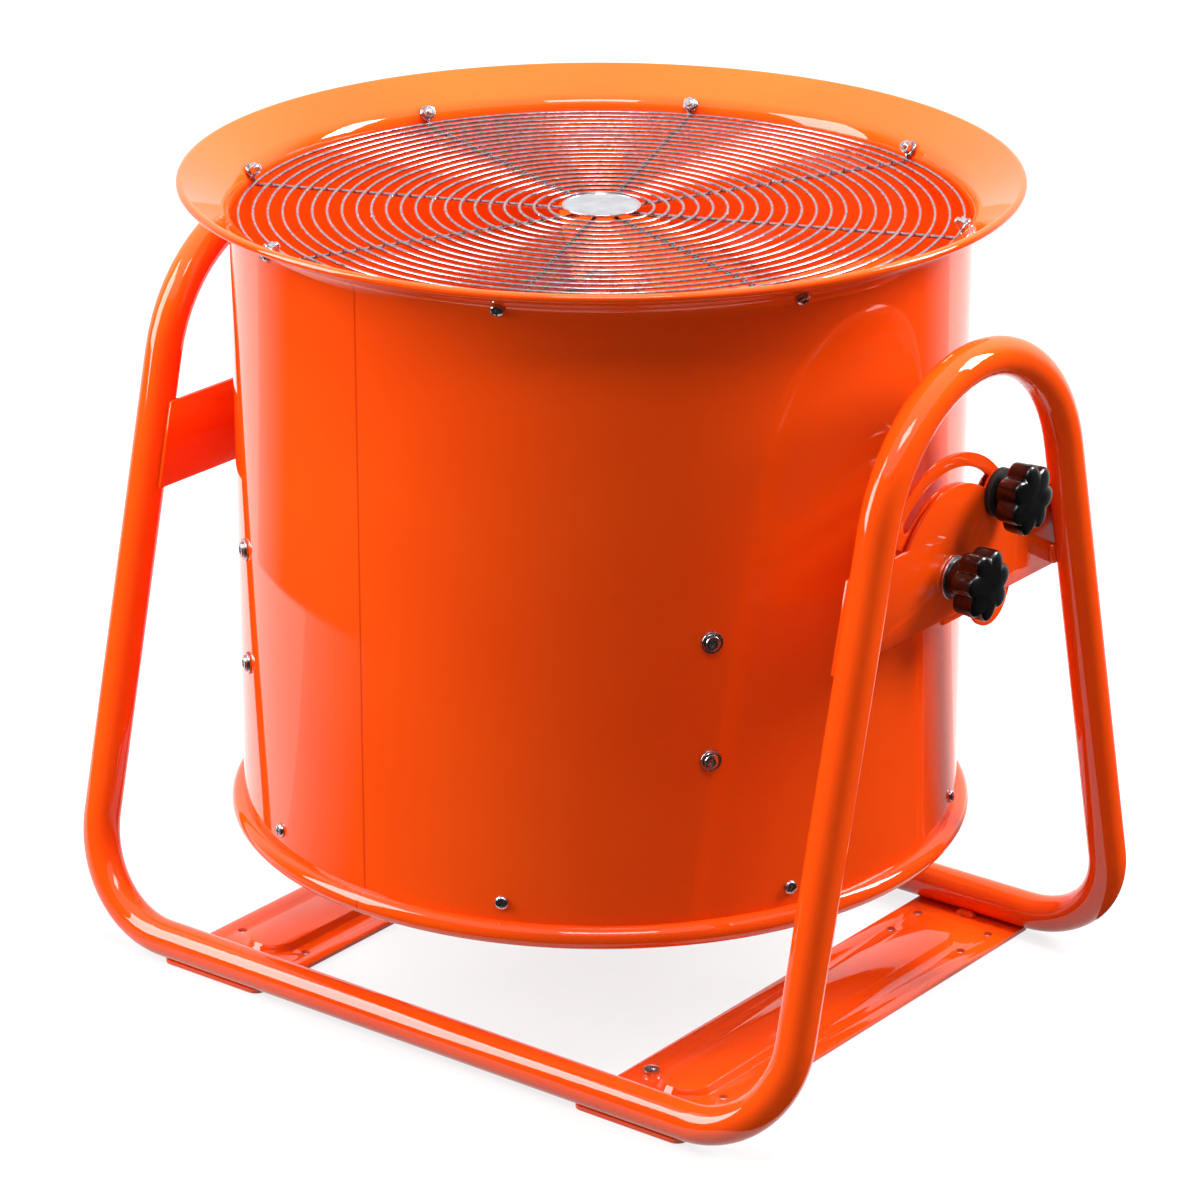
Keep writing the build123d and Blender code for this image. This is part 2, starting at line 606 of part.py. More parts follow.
def pivot_knob():
    """Right pivot knob, with the blind hole for its stud."""
    hub = STRAP_OUT + KNOB_WASHER_T + 2 * FACE_CLEARANCE
    knob = Pos(0, 0, PIVOT_Z) * star_knob(hub)
    return knob - rod_x(hub - CUT, hub + STUD_IN_KNOB, STUD_D / 2, 0, PIVOT_Z)


def lock_bolt():
    """Carriage bolt: head behind the quadrant, square neck in its slot, thread out to the knob."""
    head_face = BRACKET_IN - FACE_CLEARANCE
    dome_h = LOCK_HEAD_H - LOCK_HEAD_RIM
    dome_r = ((LOCK_HEAD_D / 2)**2 + dome_h**2) / (2 * dome_h)
    head = rod_x(head_face - LOCK_HEAD_H, head_face, LOCK_HEAD_D / 2)
    head &= Pos(head_face - LOCK_HEAD_H + dome_r, 0, 0) * Sphere(dome_r)
    neck = block(head_face, STRAP_IN - FACE_CLEARANCE, -NECK_W / 2, NECK_W / 2, -NECK_W / 2, NECK_W / 2)
    thread = rod_x(head_face, lock_knob_base() + STUD_IN_KNOB, STUD_D / 2)
    bolt = Rot(LOCK_ANGLE, 0, 0) * (head + neck + thread)
    return Pos(0, LOCK_Y, PIVOT_Z + LOCK_Z) * bolt


def lock_knob_base():
    return STRAP_OUT + LOCK_WASHER_T + 2 * FACE_CLEARANCE


def lock_knob():
    """Knob of the tilt lock, threaded on the carriage bolt."""
    base = lock_knob_base()
    knob = star_knob(base)
    knob -= rod_x(base - CUT, base + STUD_IN_KNOB + KNOB_BORE_SPARE, STUD_D / 2 + RUNNING_CLEARANCE)
    return Pos(0, LOCK_Y, PIVOT_Z + LOCK_Z) * knob


def lock_rubber_washer():
    """Thick washer between the strap's ear and the lock knob."""
    face = STRAP_OUT + FACE_CLEARANCE
    inner_r = STUD_D / 2 + HOLE_CLEARANCE
    return ring_x(face, face + LOCK_WASHER_T, LOCK_WASHER_D / 2, inner_r, LOCK_Y, PIVOT_Z + LOCK_Z)


# ---------------------------------------------------------------- drum shell

def drum_shell():
    """Rolled drum: hose bead below, straight wall, bell mouth and rolled lip above."""
    shell = revolve(Plane.XZ * drum_profile(), Axis.Z)
    guard_hole = wall_hole(GUARD_SCREW_D / 2 + HOLE_CLEARANCE, 0)
    holes = ring_of(SPOKE_COUNT, SPOKE_START, on_the_bend(guard_hole))
    holes += ring_of(SPOKE_COUNT, SPOKE_START, Pos(0, 0, OUTLET_SCREW_Z) * guard_hole)
    for z in ARM_BOLT_Z:
        holes += ring_of(ARM_COUNT, ARM_START, wall_hole(ARM_BOLT_D / 2 + HOLE_CLEARANCE, z))
    holes.append(round_the_drum(BOX_ANGLE, wall_hole(LEAD_HOLE_D / 2, BOX_Z)))
    for hole in holes:
        shell -= hole
    return shell


def on_the_bend(shape):
    """Move a shape from the straight wall at the pivot's height to an inlet screw's place on the bend."""
    return Pos(INLET_SEAT_X, 0, INLET_SEAT_Z) * Rot(0, INLET_TILT, 0) * Pos(-DRUM_R, 0, -PIVOT_Z) * shape


def wall_hole(radius, z):
    """Cutter for a hole through the drum's wall, at a height measured from the pivot."""
    return rod_x(DRUM_BORE_R - CUT, DRUM_R + CUT, radius, 0, PIVOT_Z + z)


def drum_profile():
    """Section of the drum's sheet, X outwards and Y up."""
    # Hose bead: a half-round bulge whose ends lie in the wall's outer and inner faces.
    bead_turn = acos((DRUM_R - BEAD_CENTRE_R) / BEAD_R)
    crease = (DRUM_R, BEAD_Z + BEAD_R * sin(bead_turn))
    nose = (BEAD_CENTRE_R + BEAD_R, BEAD_Z)
    foot = (DRUM_R, BEAD_Z - BEAD_R * sin(bead_turn))
    inner_r = BEAD_R - SHEET_T
    inner_turn = acos((DRUM_BORE_R - BEAD_CENTRE_R) / inner_r)
    foot_in = (BEAD_CENTRE_R + inner_r * cos(bead_turn), BEAD_Z - inner_r * sin(bead_turn))
    nose_in = (BEAD_CENTRE_R + inner_r, BEAD_Z)
    crease_in = (DRUM_BORE_R, BEAD_Z + inner_r * sin(inner_turn))
    # Bell mouth: a bend about one centre, a cone, then a lip curled three quarters round.
    wall_top_in = (DRUM_BORE_R, BELL_Z)
    wall_top_out = (DRUM_R, BELL_Z)
    bend_centre = (DRUM_BORE_R + BELL_BEND_R, BELL_Z)
    bend_in = CenterArc(bend_centre, BELL_BEND_R, 180, BELL_SLOPE - 90)
    bend_out = CenterArc(bend_centre, BELL_BEND_R - SHEET_T, 90 + BELL_SLOPE, 90 - BELL_SLOPE)
    lip_out = CenterArc(LIP_CENTRE, LIP_R, 90 + BELL_SLOPE, -270)
    lip_in = CenterArc(LIP_CENTRE, LIP_R - SHEET_T, BELL_SLOPE - 180, 270)
    edges = [
        Line(wall_top_out, crease),
        ThreePointArc(crease, nose, foot),
        Line(foot, foot_in),
        ThreePointArc(foot_in, nose_in, crease_in),
        Line(crease_in, wall_top_in),
        bend_in,
        Line(bend_in @ 1, lip_out @ 0),
        lip_out,
        Line(lip_out @ 1, lip_in @ 0),
        lip_in,
        Line(lip_in @ 1, bend_out @ 0),
        bend_out,
    ]
    return make_face(edges)


# ---------------------------------------------------------------- wire guards

def guard_levels(eye_foot, inward):
    """Heights of a guard's rings, of its spokes and of the face that its middle disc stands on."""
    rings = eye_foot + inward * EYE_TO_RINGS
    spokes = rings + inward * (RING_WIRE_D / 2 + SPOKE_WIRE_D / 2 + WELD_GAP)
    disc = spokes - inward * (SPOKE_WIRE_D / 2 + WELD_GAP)
    return rings, spokes, disc


def guard(neck_x, eye_foot, inward, tilt):
    """Wire guard whose eyes lean outwards by a tilt; inward is +1 where the drum's middle lies above it."""
    ring_level, spoke_level, disc_face = guard_levels(eye_foot, inward)
    spoke_r = SPOKE_WIRE_D / 2
    path = FilletPolyline(
        (SPOKE_ROOT_R, 0, spoke_level), (neck_x, 0, spoke_level), (neck_x, 0, eye_foot), radius=SPOKE_BEND_R)
    spoke = sweep(Plane(origin=path @ 0, z_dir=path % 0) * Circle(spoke_r), path)
    eye = Pos(0, 0, -inward * EYE_R) * Rot(0, 90, 0) * Torus(EYE_R, spoke_r)
    spoke += Pos(neck_x, 0, eye_foot) * Rot(0, tilt, 0) * eye
    disc_z = sorted((disc_face, disc_face - inward * HUB_DISC_T))
    pieces = ring_of(SPOKE_COUNT, SPOKE_START, spoke)
    pieces.append(rod_z(*disc_z, HUB_DISC_D / 2))
    for i in range(RING_COUNT):
        pieces.append(Pos(0, 0, ring_level) * Torus(RING_MAX_R - i * RING_PITCH, RING_WIRE_D / 2))
    return pieces


def guard_badge():
    """Plain round badge on the inlet guard's middle disc."""
    disc_face = guard_levels(INLET_EYE_FOOT, -1)[2]
    return rod_z(disc_face + HUB_DISC_T, disc_face + HUB_DISC_T + BADGE_T, BADGE_D / 2)


def guard_screw(z):
    """Pan-head screw through the drum's wall and a guard's eye, on the +X side."""
    level = PIVOT_Z + z
    tip = DRUM_BORE_R - HOLE_CLEARANCE - SPOKE_WIRE_D - GUARD_NUT_H - PAST_NUT
    head = rod_x(DRUM_R, DRUM_R + GUARD_HEAD_H, GUARD_HEAD_D / 2, 0, level)
    face = DRUM_R + GUARD_HEAD_H
    half_w = DRIVE_W / 2
    half_l = DRIVE_L / 2
    head -= block(face - DRIVE_DEPTH, face + CUT, -half_w, half_w, level - half_l, level + half_l)
    head -= block(face - DRIVE_DEPTH, face + CUT, -half_l, half_l, level - half_w, level + half_w)
    return head + rod_x(tip, DRUM_R, GUARD_SCREW_D / 2, 0, level)


def guard_nut(z):
    """Nut behind a guard's eye."""
    face = DRUM_BORE_R - HOLE_CLEARANCE - SPOKE_WIRE_D
    nut = hex_x(face - GUARD_NUT_H, face, GUARD_NUT_AF, 0, PIVOT_Z + z)
    return nut - rod_x(face - GUARD_NUT_H - CUT, face + CUT, GUARD_SCREW_D / 2, 0, PIVOT_Z + z)


# ---------------------------------------------------------------- motor arms

def motor_arm():
    """Arm on the +X side: a foot on the drum's wall, a web and a foot on the motor's pad."""
    z0 = MOTOR_Z - ARM_H / 2
    z1 = MOTOR_Z + ARM_H / 2
    pad_z0 = MOTOR_Z - PAD_H / 2
    pad_z1 = MOTOR_Z + PAD_H / 2
    outer_foot = block(ARM_OUT - ARM_T, ARM_OUT, -ARM_W / 2, ARM_W / 2, z0, z1)
    inner_foot = block(FOOT_IN, FOOT_IN + ARM_T, -ARM_W / 2, ARM_W / 2, pad_z0, pad_z1)
    web_outline = Polygon((FOOT_IN, pad_z0), (ARM_OUT, z0), (ARM_OUT, z1), (FOOT_IN, pad_z1), align=None)
    web = Pos(0, -ARM_W / 2 + ARM_T, 0) * extrude(Plane.XZ * web_outline, ARM_T)
    arm = outer_foot + inner_foot + web
    for z in ARM_BOLT_Z:
        arm -= rod_x(FOOT_IN - CUT, ARM_OUT + CUT, ARM_BOLT_D / 2 + HOLE_CLEARANCE, 0, PIVOT_Z + z)
    return arm


def cup_washer(z):
    """Cup washer under an arm bolt's head, outside the drum."""
    rim = DRUM_R + CUP_WASHER_H
    cup = ring_x(DRUM_R, rim, CUP_WASHER_D / 2, ARM_BOLT_D / 2 + HOLE_CLEARANCE, 0, PIVOT_Z + z)
    return cup - rod_x(DRUM_R + CUP_FLOOR_T, rim + CUT, CUP_HEAD_D / 2 + HOLE_CLEARANCE, 0, PIVOT_Z + z)


def arm_bolt(z):
    """Socket-head bolt through the drum's wall and an arm's outer foot."""
    level = PIVOT_Z + z
    seat = DRUM_R + CUP_FLOOR_T
    tip = ARM_OUT - ARM_T - ARM_NUT_H - PAST_NUT
    head = rod_x(seat, seat + CUP_HEAD_H, CUP_HEAD_D / 2, 0, level)
    head -= hex_x(seat + SOCKET_FLOOR, seat + CUP_HEAD_H + CUT, SOCKET_AF, 0, level)
    return head + rod_x(tip, seat, ARM_BOLT_D / 2, 0, level)


def arm_nut(z):
    """Nut behind an arm's outer foot."""
    face = ARM_OUT - ARM_T
    nut = hex_x(face - ARM_NUT_H, face, ARM_NUT_AF, 0, PIVOT_Z + z)
    return nut - rod_x(face - ARM_NUT_H - CUT, face + CUT, ARM_BOLT_D / 2, 0, PIVOT_Z + z)


def foot_bolt(z):
    """Hexagon bolt through an arm's inner foot into the motor's pad."""
    face = FOOT_IN + ARM_T
    head = hex_x(face, face + FOOT_BOLT_HEAD_H, ARM_NUT_AF, 0, PIVOT_Z + z)
    return head + rod_x(FOOT_IN - FOOT_BOLT_L, face, ARM_BOLT_D / 2, 0, PIVOT_Z + z)


# ---------------------------------------------------------------- motor

def motor_housing():
    """Motor barrel with four pads for the arms and cooling fins between them."""
    body = rod_z(MOTOR_BOTTOM, MOTOR_TOP, MOTOR_R)
    root = MOTOR_R - MOTOR_WALL / 2
    fin_z = (MOTOR_BOTTOM + FIN_INSET, MOTOR_TOP - FIN_INSET)
    pad = block(root, PAD_R, -PAD_W / 2, PAD_W / 2, MOTOR_Z - PAD_H / 2, MOTOR_Z + PAD_H / 2)
    fin = block(root, MOTOR_R + FIN_H, -FIN_T / 2, FIN_T / 2, *fin_z)
    additions = ring_of(ARM_COUNT, ARM_START, pad)
    for angle in arm_angles():
        middle = angle + 180.0 / ARM_COUNT
        holds_terminals = abs((middle - BOX_ANGLE + 180) % 360 - 180) < 180.0 / ARM_COUNT
        for i in range(FINS_PER_SIDE):
            if not holds_terminals:
                additions.append(round_the_drum(middle + (i - (FINS_PER_SIDE - 1) / 2) * FIN_STEP, fin))
    terminal_z = (BOX_MID - TERMINAL_H / 2, BOX_MID + TERMINAL_H / 2)
    terminal_seat = block(root, TERMINAL_IN, -TERMINAL_W / 2, TERMINAL_W / 2, *terminal_z)
    additions.append(round_the_drum(BOX_ANGLE, terminal_seat))
    body = body.fuse(*additions)
    body -= rod_z(MOTOR_BOTTOM - CUT, MOTOR_TOP + CUT, MOTOR_BORE_R)
    for z in ARM_BOLT_Z:
        tapped = rod_x(FOOT_IN - FOOT_BOLT_L - CUT, PAD_R + CUT, ARM_BOLT_D / 2, 0, PIVOT_Z + z)
        for hole in ring_of(ARM_COUNT, ARM_START, tapped):
            body -= hole
    for hole in bell_screw_ring(rod_z(-CUT, BELL_END_T, BELL_SCREW_D / 2, bell_screw_r())):
        body -= at_motor_bottom(Rot(180, 0, 0) * hole)
        body -= at_motor_top(Rot(180, 0, 0) * hole)
    return body


def bell_screw_r():
    """Distance of the end bell's screws from the motor's axis, in the middle of the barrel's wall."""
    return MOTOR_R - MOTOR_WALL / 2


def bell_screw_ring(shape):
    """Copies at the end bell's screws, which match when the bell is turned over about X."""
    return ring_of(BELL_SCREW_COUNT, 0.0, shape)


def end_bell():
    """Upper end bell: flange, cone and bearing seat, standing on z = 0."""
    flange = rod_z(0, BELL_END_T, MOTOR_R)
    boss_r = BEARING_D / 2 + BEARING_BOSS_T
    boss = rod_z(0, BELL_END_H, boss_r)
    cone_r = MOTOR_R - BELL_RIM_W
    cone = loft([Circle(cone_r), Pos(0, 0, BELL_END_H - BELL_CONE_DROP) * Circle(boss_r)])
    bell = flange + boss + cone
    hollow = loft([Circle(cone_r - BELL_END_T), Pos(0, 0, BELL_HOLLOW_H) * Circle(boss_r)])
    bell -= hollow
    bell -= rod_z(-CUT, BEARING_W, BEARING_D / 2)
    bell -= rod_z(-CUT, BELL_END_H + CUT, SHAFT_R + SHAFT_CLEARANCE)
    hole = rod_z(-CUT, BELL_END_T + CUT, BELL_SCREW_D / 2 + HOLE_CLEARANCE, bell_screw_r())
    for place in bell_screw_ring(hole):
        bell -= place
    return bell


def bell_screw():
    """Cap screw of the upper end bell, head standing on the flange."""
    head = rod_z(BELL_END_T, BELL_END_T + BELL_SCREW_HEAD_H, BELL_SCREW_HEAD_D / 2, bell_screw_r())
    return head + rod_z(-BELL_END_T, BELL_END_T, BELL_SCREW_D / 2, bell_screw_r())


def at_motor_top(shape):
    return Pos(0, 0, MOTOR_TOP) * shape


def at_motor_bottom(shape):
    """The upper end's piece, turned over for the lower end."""
    return Pos(0, 0, MOTOR_BOTTOM) * Rot(180, 0, 0) * shape


def bearing():
    """Ball bearing in an end bell's seat."""
    return ring_z(BEARING_SETBACK, BEARING_W, BEARING_D / 2, SHAFT_R + RUNNING_CLEARANCE)


def stator_core():
    return ring_z(MOTOR_Z - STATOR_L / 2, MOTOR_Z + STATOR_L / 2, MOTOR_BORE_R, ROTOR_D / 2 + AIR_GAP)


def winding_head():
    """Upper winding head, on the stator's end."""
    z = MOTOR_Z + STATOR_L / 2
    outer_r = MOTOR_BORE_R - COIL_INSET
    return ring_z(z, z + COIL_H, outer_r, outer_r - COIL_T)


def terminal_box():
    """Open box on the motor's side, on the +X side."""
    lid_back = TERMINAL_R - BOX_WALL
    z0 = BOX_MID - TERMINAL_H / 2
    z1 = BOX_MID + TERMINAL_H / 2
    half = TERMINAL_W / 2
    wall = BOX_WALL
    box = block(TERMINAL_IN, lid_back, -half, half, z0, z1)
    box -= block(TERMINAL_IN + wall, TERMINAL_R, -half + wall, half - wall, z0 + wall, z1 - wall)
    for y, z in cover_screw_places(TERMINAL_W, TERMINAL_H):
        boss = rod_x(TERMINAL_IN, lid_back, COVER_SCREW_D, y, z)
        box += boss & block(TERMINAL_IN, lid_back, -half, half, z0, z1)
        box -= rod_x(TERMINAL_R - COVER_SCREW_L - CUT, TERMINAL_R, COVER_SCREW_D / 2, y, z)
    return box


def terminal_box_lid():
    lid = block(TERMINAL_R - BOX_WALL, TERMINAL_R, -TERMINAL_W / 2, TERMINAL_W / 2,
                BOX_MID - TERMINAL_H / 2, BOX_MID + TERMINAL_H / 2)
    through = (TERMINAL_R - BOX_WALL - CUT, TERMINAL_R + CUT)
    lid -= rod_x(*through, LEAD_D / 2 + HOLE_CLEARANCE, 0, BOX_MID)
    for y, z in cover_screw_places(TERMINAL_W, TERMINAL_H):
        lid -= rod_x(*through, COVER_SCREW_D / 2 + HOLE_CLEARANCE, y, z)
    return lid


def cover_screw_places(width, height):
    """Two screws, in opposite corners of a box of this size round the lead's line."""
    dy = width / 2 - BOX_WALL - COVER_SCREW_D / 2
    dz = height / 2 - BOX_WALL - COVER_SCREW_D / 2
    return [(-dy, BOX_MID - dz), (dy, BOX_MID + dz)]


def cover_screw(y, z, face_x):
    head = rod_x(face_x, face_x + COVER_SCREW_HEAD_H, COVER_SCREW_HEAD_D / 2, y, z)
    return head + rod_x(face_x - COVER_SCREW_L, face_x, COVER_SCREW_D / 2, y, z)


def motor_shaft():
    """Shaft from below the lower bearing up to the hub, with a thread for the nut."""
    shoulder = HUB_TOP - SHOULDER_DROP
    return rod_z(SHAFT_BOTTOM, shoulder, SHAFT_R) + rod_z(shoulder, SHAFT_TOP, SHAFT_THREAD_D / 2)


def rotor_core():
    return ring_z(MOTOR_Z - STATOR_L / 2, MOTOR_Z + STATOR_L / 2, ROTOR_D / 2, SHAFT_R)


# ---------------------------------------------------------------- impeller

def impeller_spider():
    """Hub with a flat pitched arm under each blade."""
    hub = rod_z(HUB_TOP - HUB_H, HUB_TOP, HUB_D / 2)
    arm = block(HUB_D / 4, ARM_PLATE_R, -ARM_PLATE_W / 2, ARM_PLATE_W / 2, -ARM_PLATE_T, 0)
    for radius in RIVET_RADII:
        arm -= rod_z(-ARM_PLATE_T - CUT, CUT, RIVET_D / 2, radius)
    arms = ring_of(BLADE_COUNT, BLADE_START, at_blade_pitch(arm))
    spider = hub.fuse(*arms)
    spider -= rod_z(HUB_TOP - HUB_H - CUT, HUB_TOP + CUT, SHAFT_R)
    return spider


def at_blade_pitch(shape):
    """Tilt a shape about the radial line through the middle of the blades."""
    return Pos(0, 0, IMPELLER_MID) * Rot(BLADE_PITCH, 0, 0) * shape


def impeller_blade():
    """Cambered blade on top of the +X arm, its tip following the drum's wall."""
    pitch = radians(BLADE_PITCH)
    blank_r = BLADE_TIP_R + BLADE_BLANK_PAST
    taper = Polygon(
        (BLADE_ROOT_R, -BLADE_ROOT_W / 2), (blank_r, -BLADE_TIP_W / 2),
        (blank_r, BLADE_TIP_W / 2), (BLADE_ROOT_R, BLADE_ROOT_W / 2), align=None)
    planform = taper & Ellipse(BLADE_TIP_R, BLADE_TIP_R / cos(pitch))
    planform = fillet(planform.vertices(), BLADE_CORNER_R)
    blank = Pos(0, 0, -BLADE_BLANK_H / 2) * extrude(planform, BLADE_BLANK_H)
    for radius in RIVET_RADII:
        blank -= rod_z(-BLADE_BLANK_H, BLADE_BLANK_H, RIVET_D / 2, radius)
    # The sheet is part of a wide tube along the radial line, its hollow side down on the arm.
    sheet = ring_x(0, blank_r, BLADE_CAMBER_R + BLADE_T, BLADE_CAMBER_R, 0, camber_rise() - BLADE_CAMBER_R)
    return at_blade_pitch(blank & sheet)


def camber_rise():
    """How far a blade's underside stands off its arm along the middle of the arm."""
    return BLADE_CAMBER_R - sqrt(BLADE_CAMBER_R**2 - (ARM_PLATE_W / 2)**2)


def blade_rivet(radius):
    """Rivet through an arm and its blade."""
    top = camber_rise() + BLADE_T
    rivet = rod_z(-ARM_PLATE_T, top, RIVET_D / 2, radius)
    rivet += rod_z(top, top + RIVET_HEAD_H, RIVET_HEAD_D / 2, radius)
    rivet += rod_z(-ARM_PLATE_T - RIVET_HEAD_H, -ARM_PLATE_T, RIVET_HEAD_D / 2, radius)
    return at_blade_pitch(rivet)


def hub_washer():
    return ring_z(HUB_TOP, HUB_TOP + HUB_WASHER_T, HUB_WASHER_D / 2, SHAFT_THREAD_D / 2 + HOLE_CLEARANCE)


def hub_nut():
    base = HUB_TOP + HUB_WASHER_T
    top = base + HUB_NUT_H
    return hex_z(base, top, HUB_NUT_AF) - rod_z(base - CUT, top + CUT, SHAFT_THREAD_D / 2)


# ---------------------------------------------------------------- electrics on the drum

def switch_box():
    """Box on the outside of the drum, open towards its lid, on the +X side."""
    lid_back = BOX_FACE_R - BOX_WALL
    z0 = BOX_MID - BOX_H / 2
    z1 = BOX_MID + BOX_H / 2
    half = BOX_W / 2
    wall = BOX_WALL
    box = block(0, lid_back, -half, half, z0, z1) - rod_z(z0 - CUT, z1 + CUT, DRUM_R)
    hollow = block(0, lid_back + CUT, -half + wall, half - wall, z0 + wall, z1 - wall)
    box -= hollow - rod_z(z0 - CUT, z1 + CUT, DRUM_R + wall)
    box -= rod_x(DRUM_R - CUT, DRUM_R + wall + CUT, LEAD_HOLE_D / 2, 0, BOX_MID)
    box -= gland_place() * Cylinder(GLAND_THREAD_D / 2, 4 * wall)
    for y, z in cover_screw_places(BOX_W, BOX_H):
        boss = rod_x(DRUM_R + LAP, lid_back, COVER_SCREW_D, y, z)
        box += boss & block(DRUM_R, lid_back, -half, half, z0, z1)
        box -= rod_x(BOX_FACE_R - COVER_SCREW_L - CUT, BOX_FACE_R, COVER_SCREW_D / 2, y, z)
    return box


def gland_place():
    """Middle of the cable gland's hole, in the switch box's lower wall."""
    return Pos((DRUM_R + BOX_FACE_R) / 2, 0, BOX_MID - BOX_H / 2)


def rocker_z():
    return BOX_MID + BOX_H / 4


def switch_window(margin, r0, r1):
    """Block round the rocker's place in the lid, wider than the rocker by a margin on every side."""
    half_w = ROCKER_W / 2 + margin
    half_h = ROCKER_H / 2 + margin
    return Pos(0, 0, rocker_z()) * block(r0, r1, -half_w, half_w, -half_h, half_h)


def switch_box_lid():
    back = BOX_FACE_R - BOX_WALL
    lid = block(back, BOX_FACE_R, -BOX_W / 2, BOX_W / 2, BOX_MID - BOX_H / 2, BOX_MID + BOX_H / 2)
    lid -= switch_window(BOX_WALL, back - CUT, BOX_FACE_R + CUT)
    for y, z in cover_screw_places(BOX_W, BOX_H):
        lid -= rod_x(back - CUT, BOX_FACE_R + CUT, COVER_SCREW_D / 2 + HOLE_CLEARANCE, y, z)
    return lid


def rocker_switch_body():
    """Switch body in the lid's window: bezel on the lid, a pocket for the rocker, holes for its pins."""
    wall = BOX_WALL - HOLE_CLEARANCE
    bezel_face = BOX_FACE_R + SWITCH_BEZEL_T
    body = switch_window(wall, BOX_FACE_R - SWITCH_DEPTH, bezel_face)
    body += switch_window(BOX_WALL + SWITCH_BEZEL_W, BOX_FACE_R, bezel_face)
    body -= switch_window(ROCKER_POCKET_GAP, BOX_FACE_R - ROCKER_POCKET_DEPTH, bezel_face + CUT)
    return body - rocker_pin(ROCKER_PIN_D / 2 + RUNNING_CLEARANCE)


def rocker_pin(radius):
    """Pin along the rocker's axis, at the height of its middle."""
    reach = ROCKER_W / 2 + ROCKER_POCKET_GAP + ROCKER_PIN_L
    return Pos(BOX_FACE_R - ROCKER_DEPTH, 0, rocker_z()) * Rot(90, 0, 0) * Cylinder(radius, 2 * reach)


def rocker_button():
    """Rocker, off at rest: its lower half stands out of the bezel."""
    half_h = ROCKER_H / 2 - ROCKER_SHORTER
    back = BOX_FACE_R - ROCKER_DEPTH - ROCKER_BEHIND
    face = Polygon(
        (back, -half_h), (BOX_FACE_R + SWITCH_BEZEL_T + ROCKER_RISE, -half_h), (BOX_FACE_R - ROCKER_DIP, 0),
        (BOX_FACE_R - ROCKER_SUNK, half_h), (back, half_h), align=None)
    rocker = Pos(0, ROCKER_W / 2, rocker_z()) * extrude(Plane.XZ * face, ROCKER_W)
    return rocker + rocker_pin(ROCKER_PIN_D / 2)


def cable_gland():
    """Gland in the box's lower wall: thread, hexagon, dome and the bore for a power cord."""
    bore = Cylinder(GLAND_HOLE_D / 2, 4 * GLAND_H)
    thread = rod_z(-BOX_WALL, GLAND_THREAD_L - BOX_WALL, GLAND_THREAD_D / 2)
    body = hex_z(-GLAND_H / 2, 0, GLAND_D) + rod_z(-GLAND_H, -GLAND_H / 2, GLAND_DOME_D / 2)
    nut = hex_z(BOX_WALL, BOX_WALL + GLAND_NUT_H, GLAND_NUT_AF)
    return gland_place() * (thread + body + nut - bore)


def motor_lead():
    """Lead from the switch box straight across to the motor's terminal box."""
    return rod_x(TERMINAL_IN + 2 * BOX_WALL, BOX_FACE_R - LEAD_END, LEAD_D / 2, 0, BOX_MID)


def lead_grommet():
    """Rubber grommet round the lead in the drum's wall."""
    lip_face = DRUM_BORE_R - GROMMET_LIP_GAP
    hole_r = LEAD_HOLE_D / 2
    neck = ring_x(lip_face - LAP, DRUM_R + BOX_WALL + LAP, hole_r, LEAD_D / 2, 0, BOX_MID)
    lip = ring_x(lip_face - GROMMET_LIP_T, lip_face, hole_r + GROMMET_LIP_W, LEAD_D / 2, 0, BOX_MID)
    return neck + lip


def cover_screws():
    """Screws of the switch box's lid and of the terminal box's lid."""
    screws = [cover_screw(y, z, BOX_FACE_R) for y, z in cover_screw_places(BOX_W, BOX_H)]
    screws += [cover_screw(y, z, TERMINAL_R) for y, z in cover_screw_places(TERMINAL_W, TERMINAL_H)]
    return [round_the_drum(BOX_ANGLE, screw) for screw in screws]


# ---------------------------------------------------------------- all nodes

def stand_nodes():
    tube = frame_tube()
    plate = cross_plate()
    return {
        "frame_tube_right": [tube],
        "frame_tube_left": [facing_left(tube)],
        "rail_sleeves": [rail_sleeve(-RAIL_Y), rail_sleeve(RAIL_Y)],
        "cross_plate_right": [plate],
        "cross_plate_left": [facing_left(plate)],
        "plate_screw": [plate_screw()],
        "rail_weld_beads": rail_weld_beads(),
        "pivot_strap_right": [strap(True)],
        "pivot_strap_left": [facing_left(strap(False))],
        "strap_weld_beads": strap_weld_beads(),
        "lock_bolt": [lock_bolt()],
        "lock_rubber_washer": [lock_rubber_washer()],
    }


def pivot_nodes():
    return {
        "pivot_bracket_right": [pivot_bracket(True)],
        "pivot_bracket_left": [facing_left(pivot_bracket(False))],
        "pivot_weld_nuts": [weld_nut(), facing_left(weld_nut())],
        "friction_washers": [friction_washer(), facing_left(friction_washer())],
        "knob_washers": [knob_washer(), facing_left(knob_washer())],
        "pivot_stud_right": [pivot_stud()],
        "pivot_stud_left": [facing_left(pivot_stud())],
        "pivot_knob_right": [pivot_knob()],
        "pivot_knob_left": [facing_left(pivot_knob())],
        "lock_knob": [lock_knob()],
    }


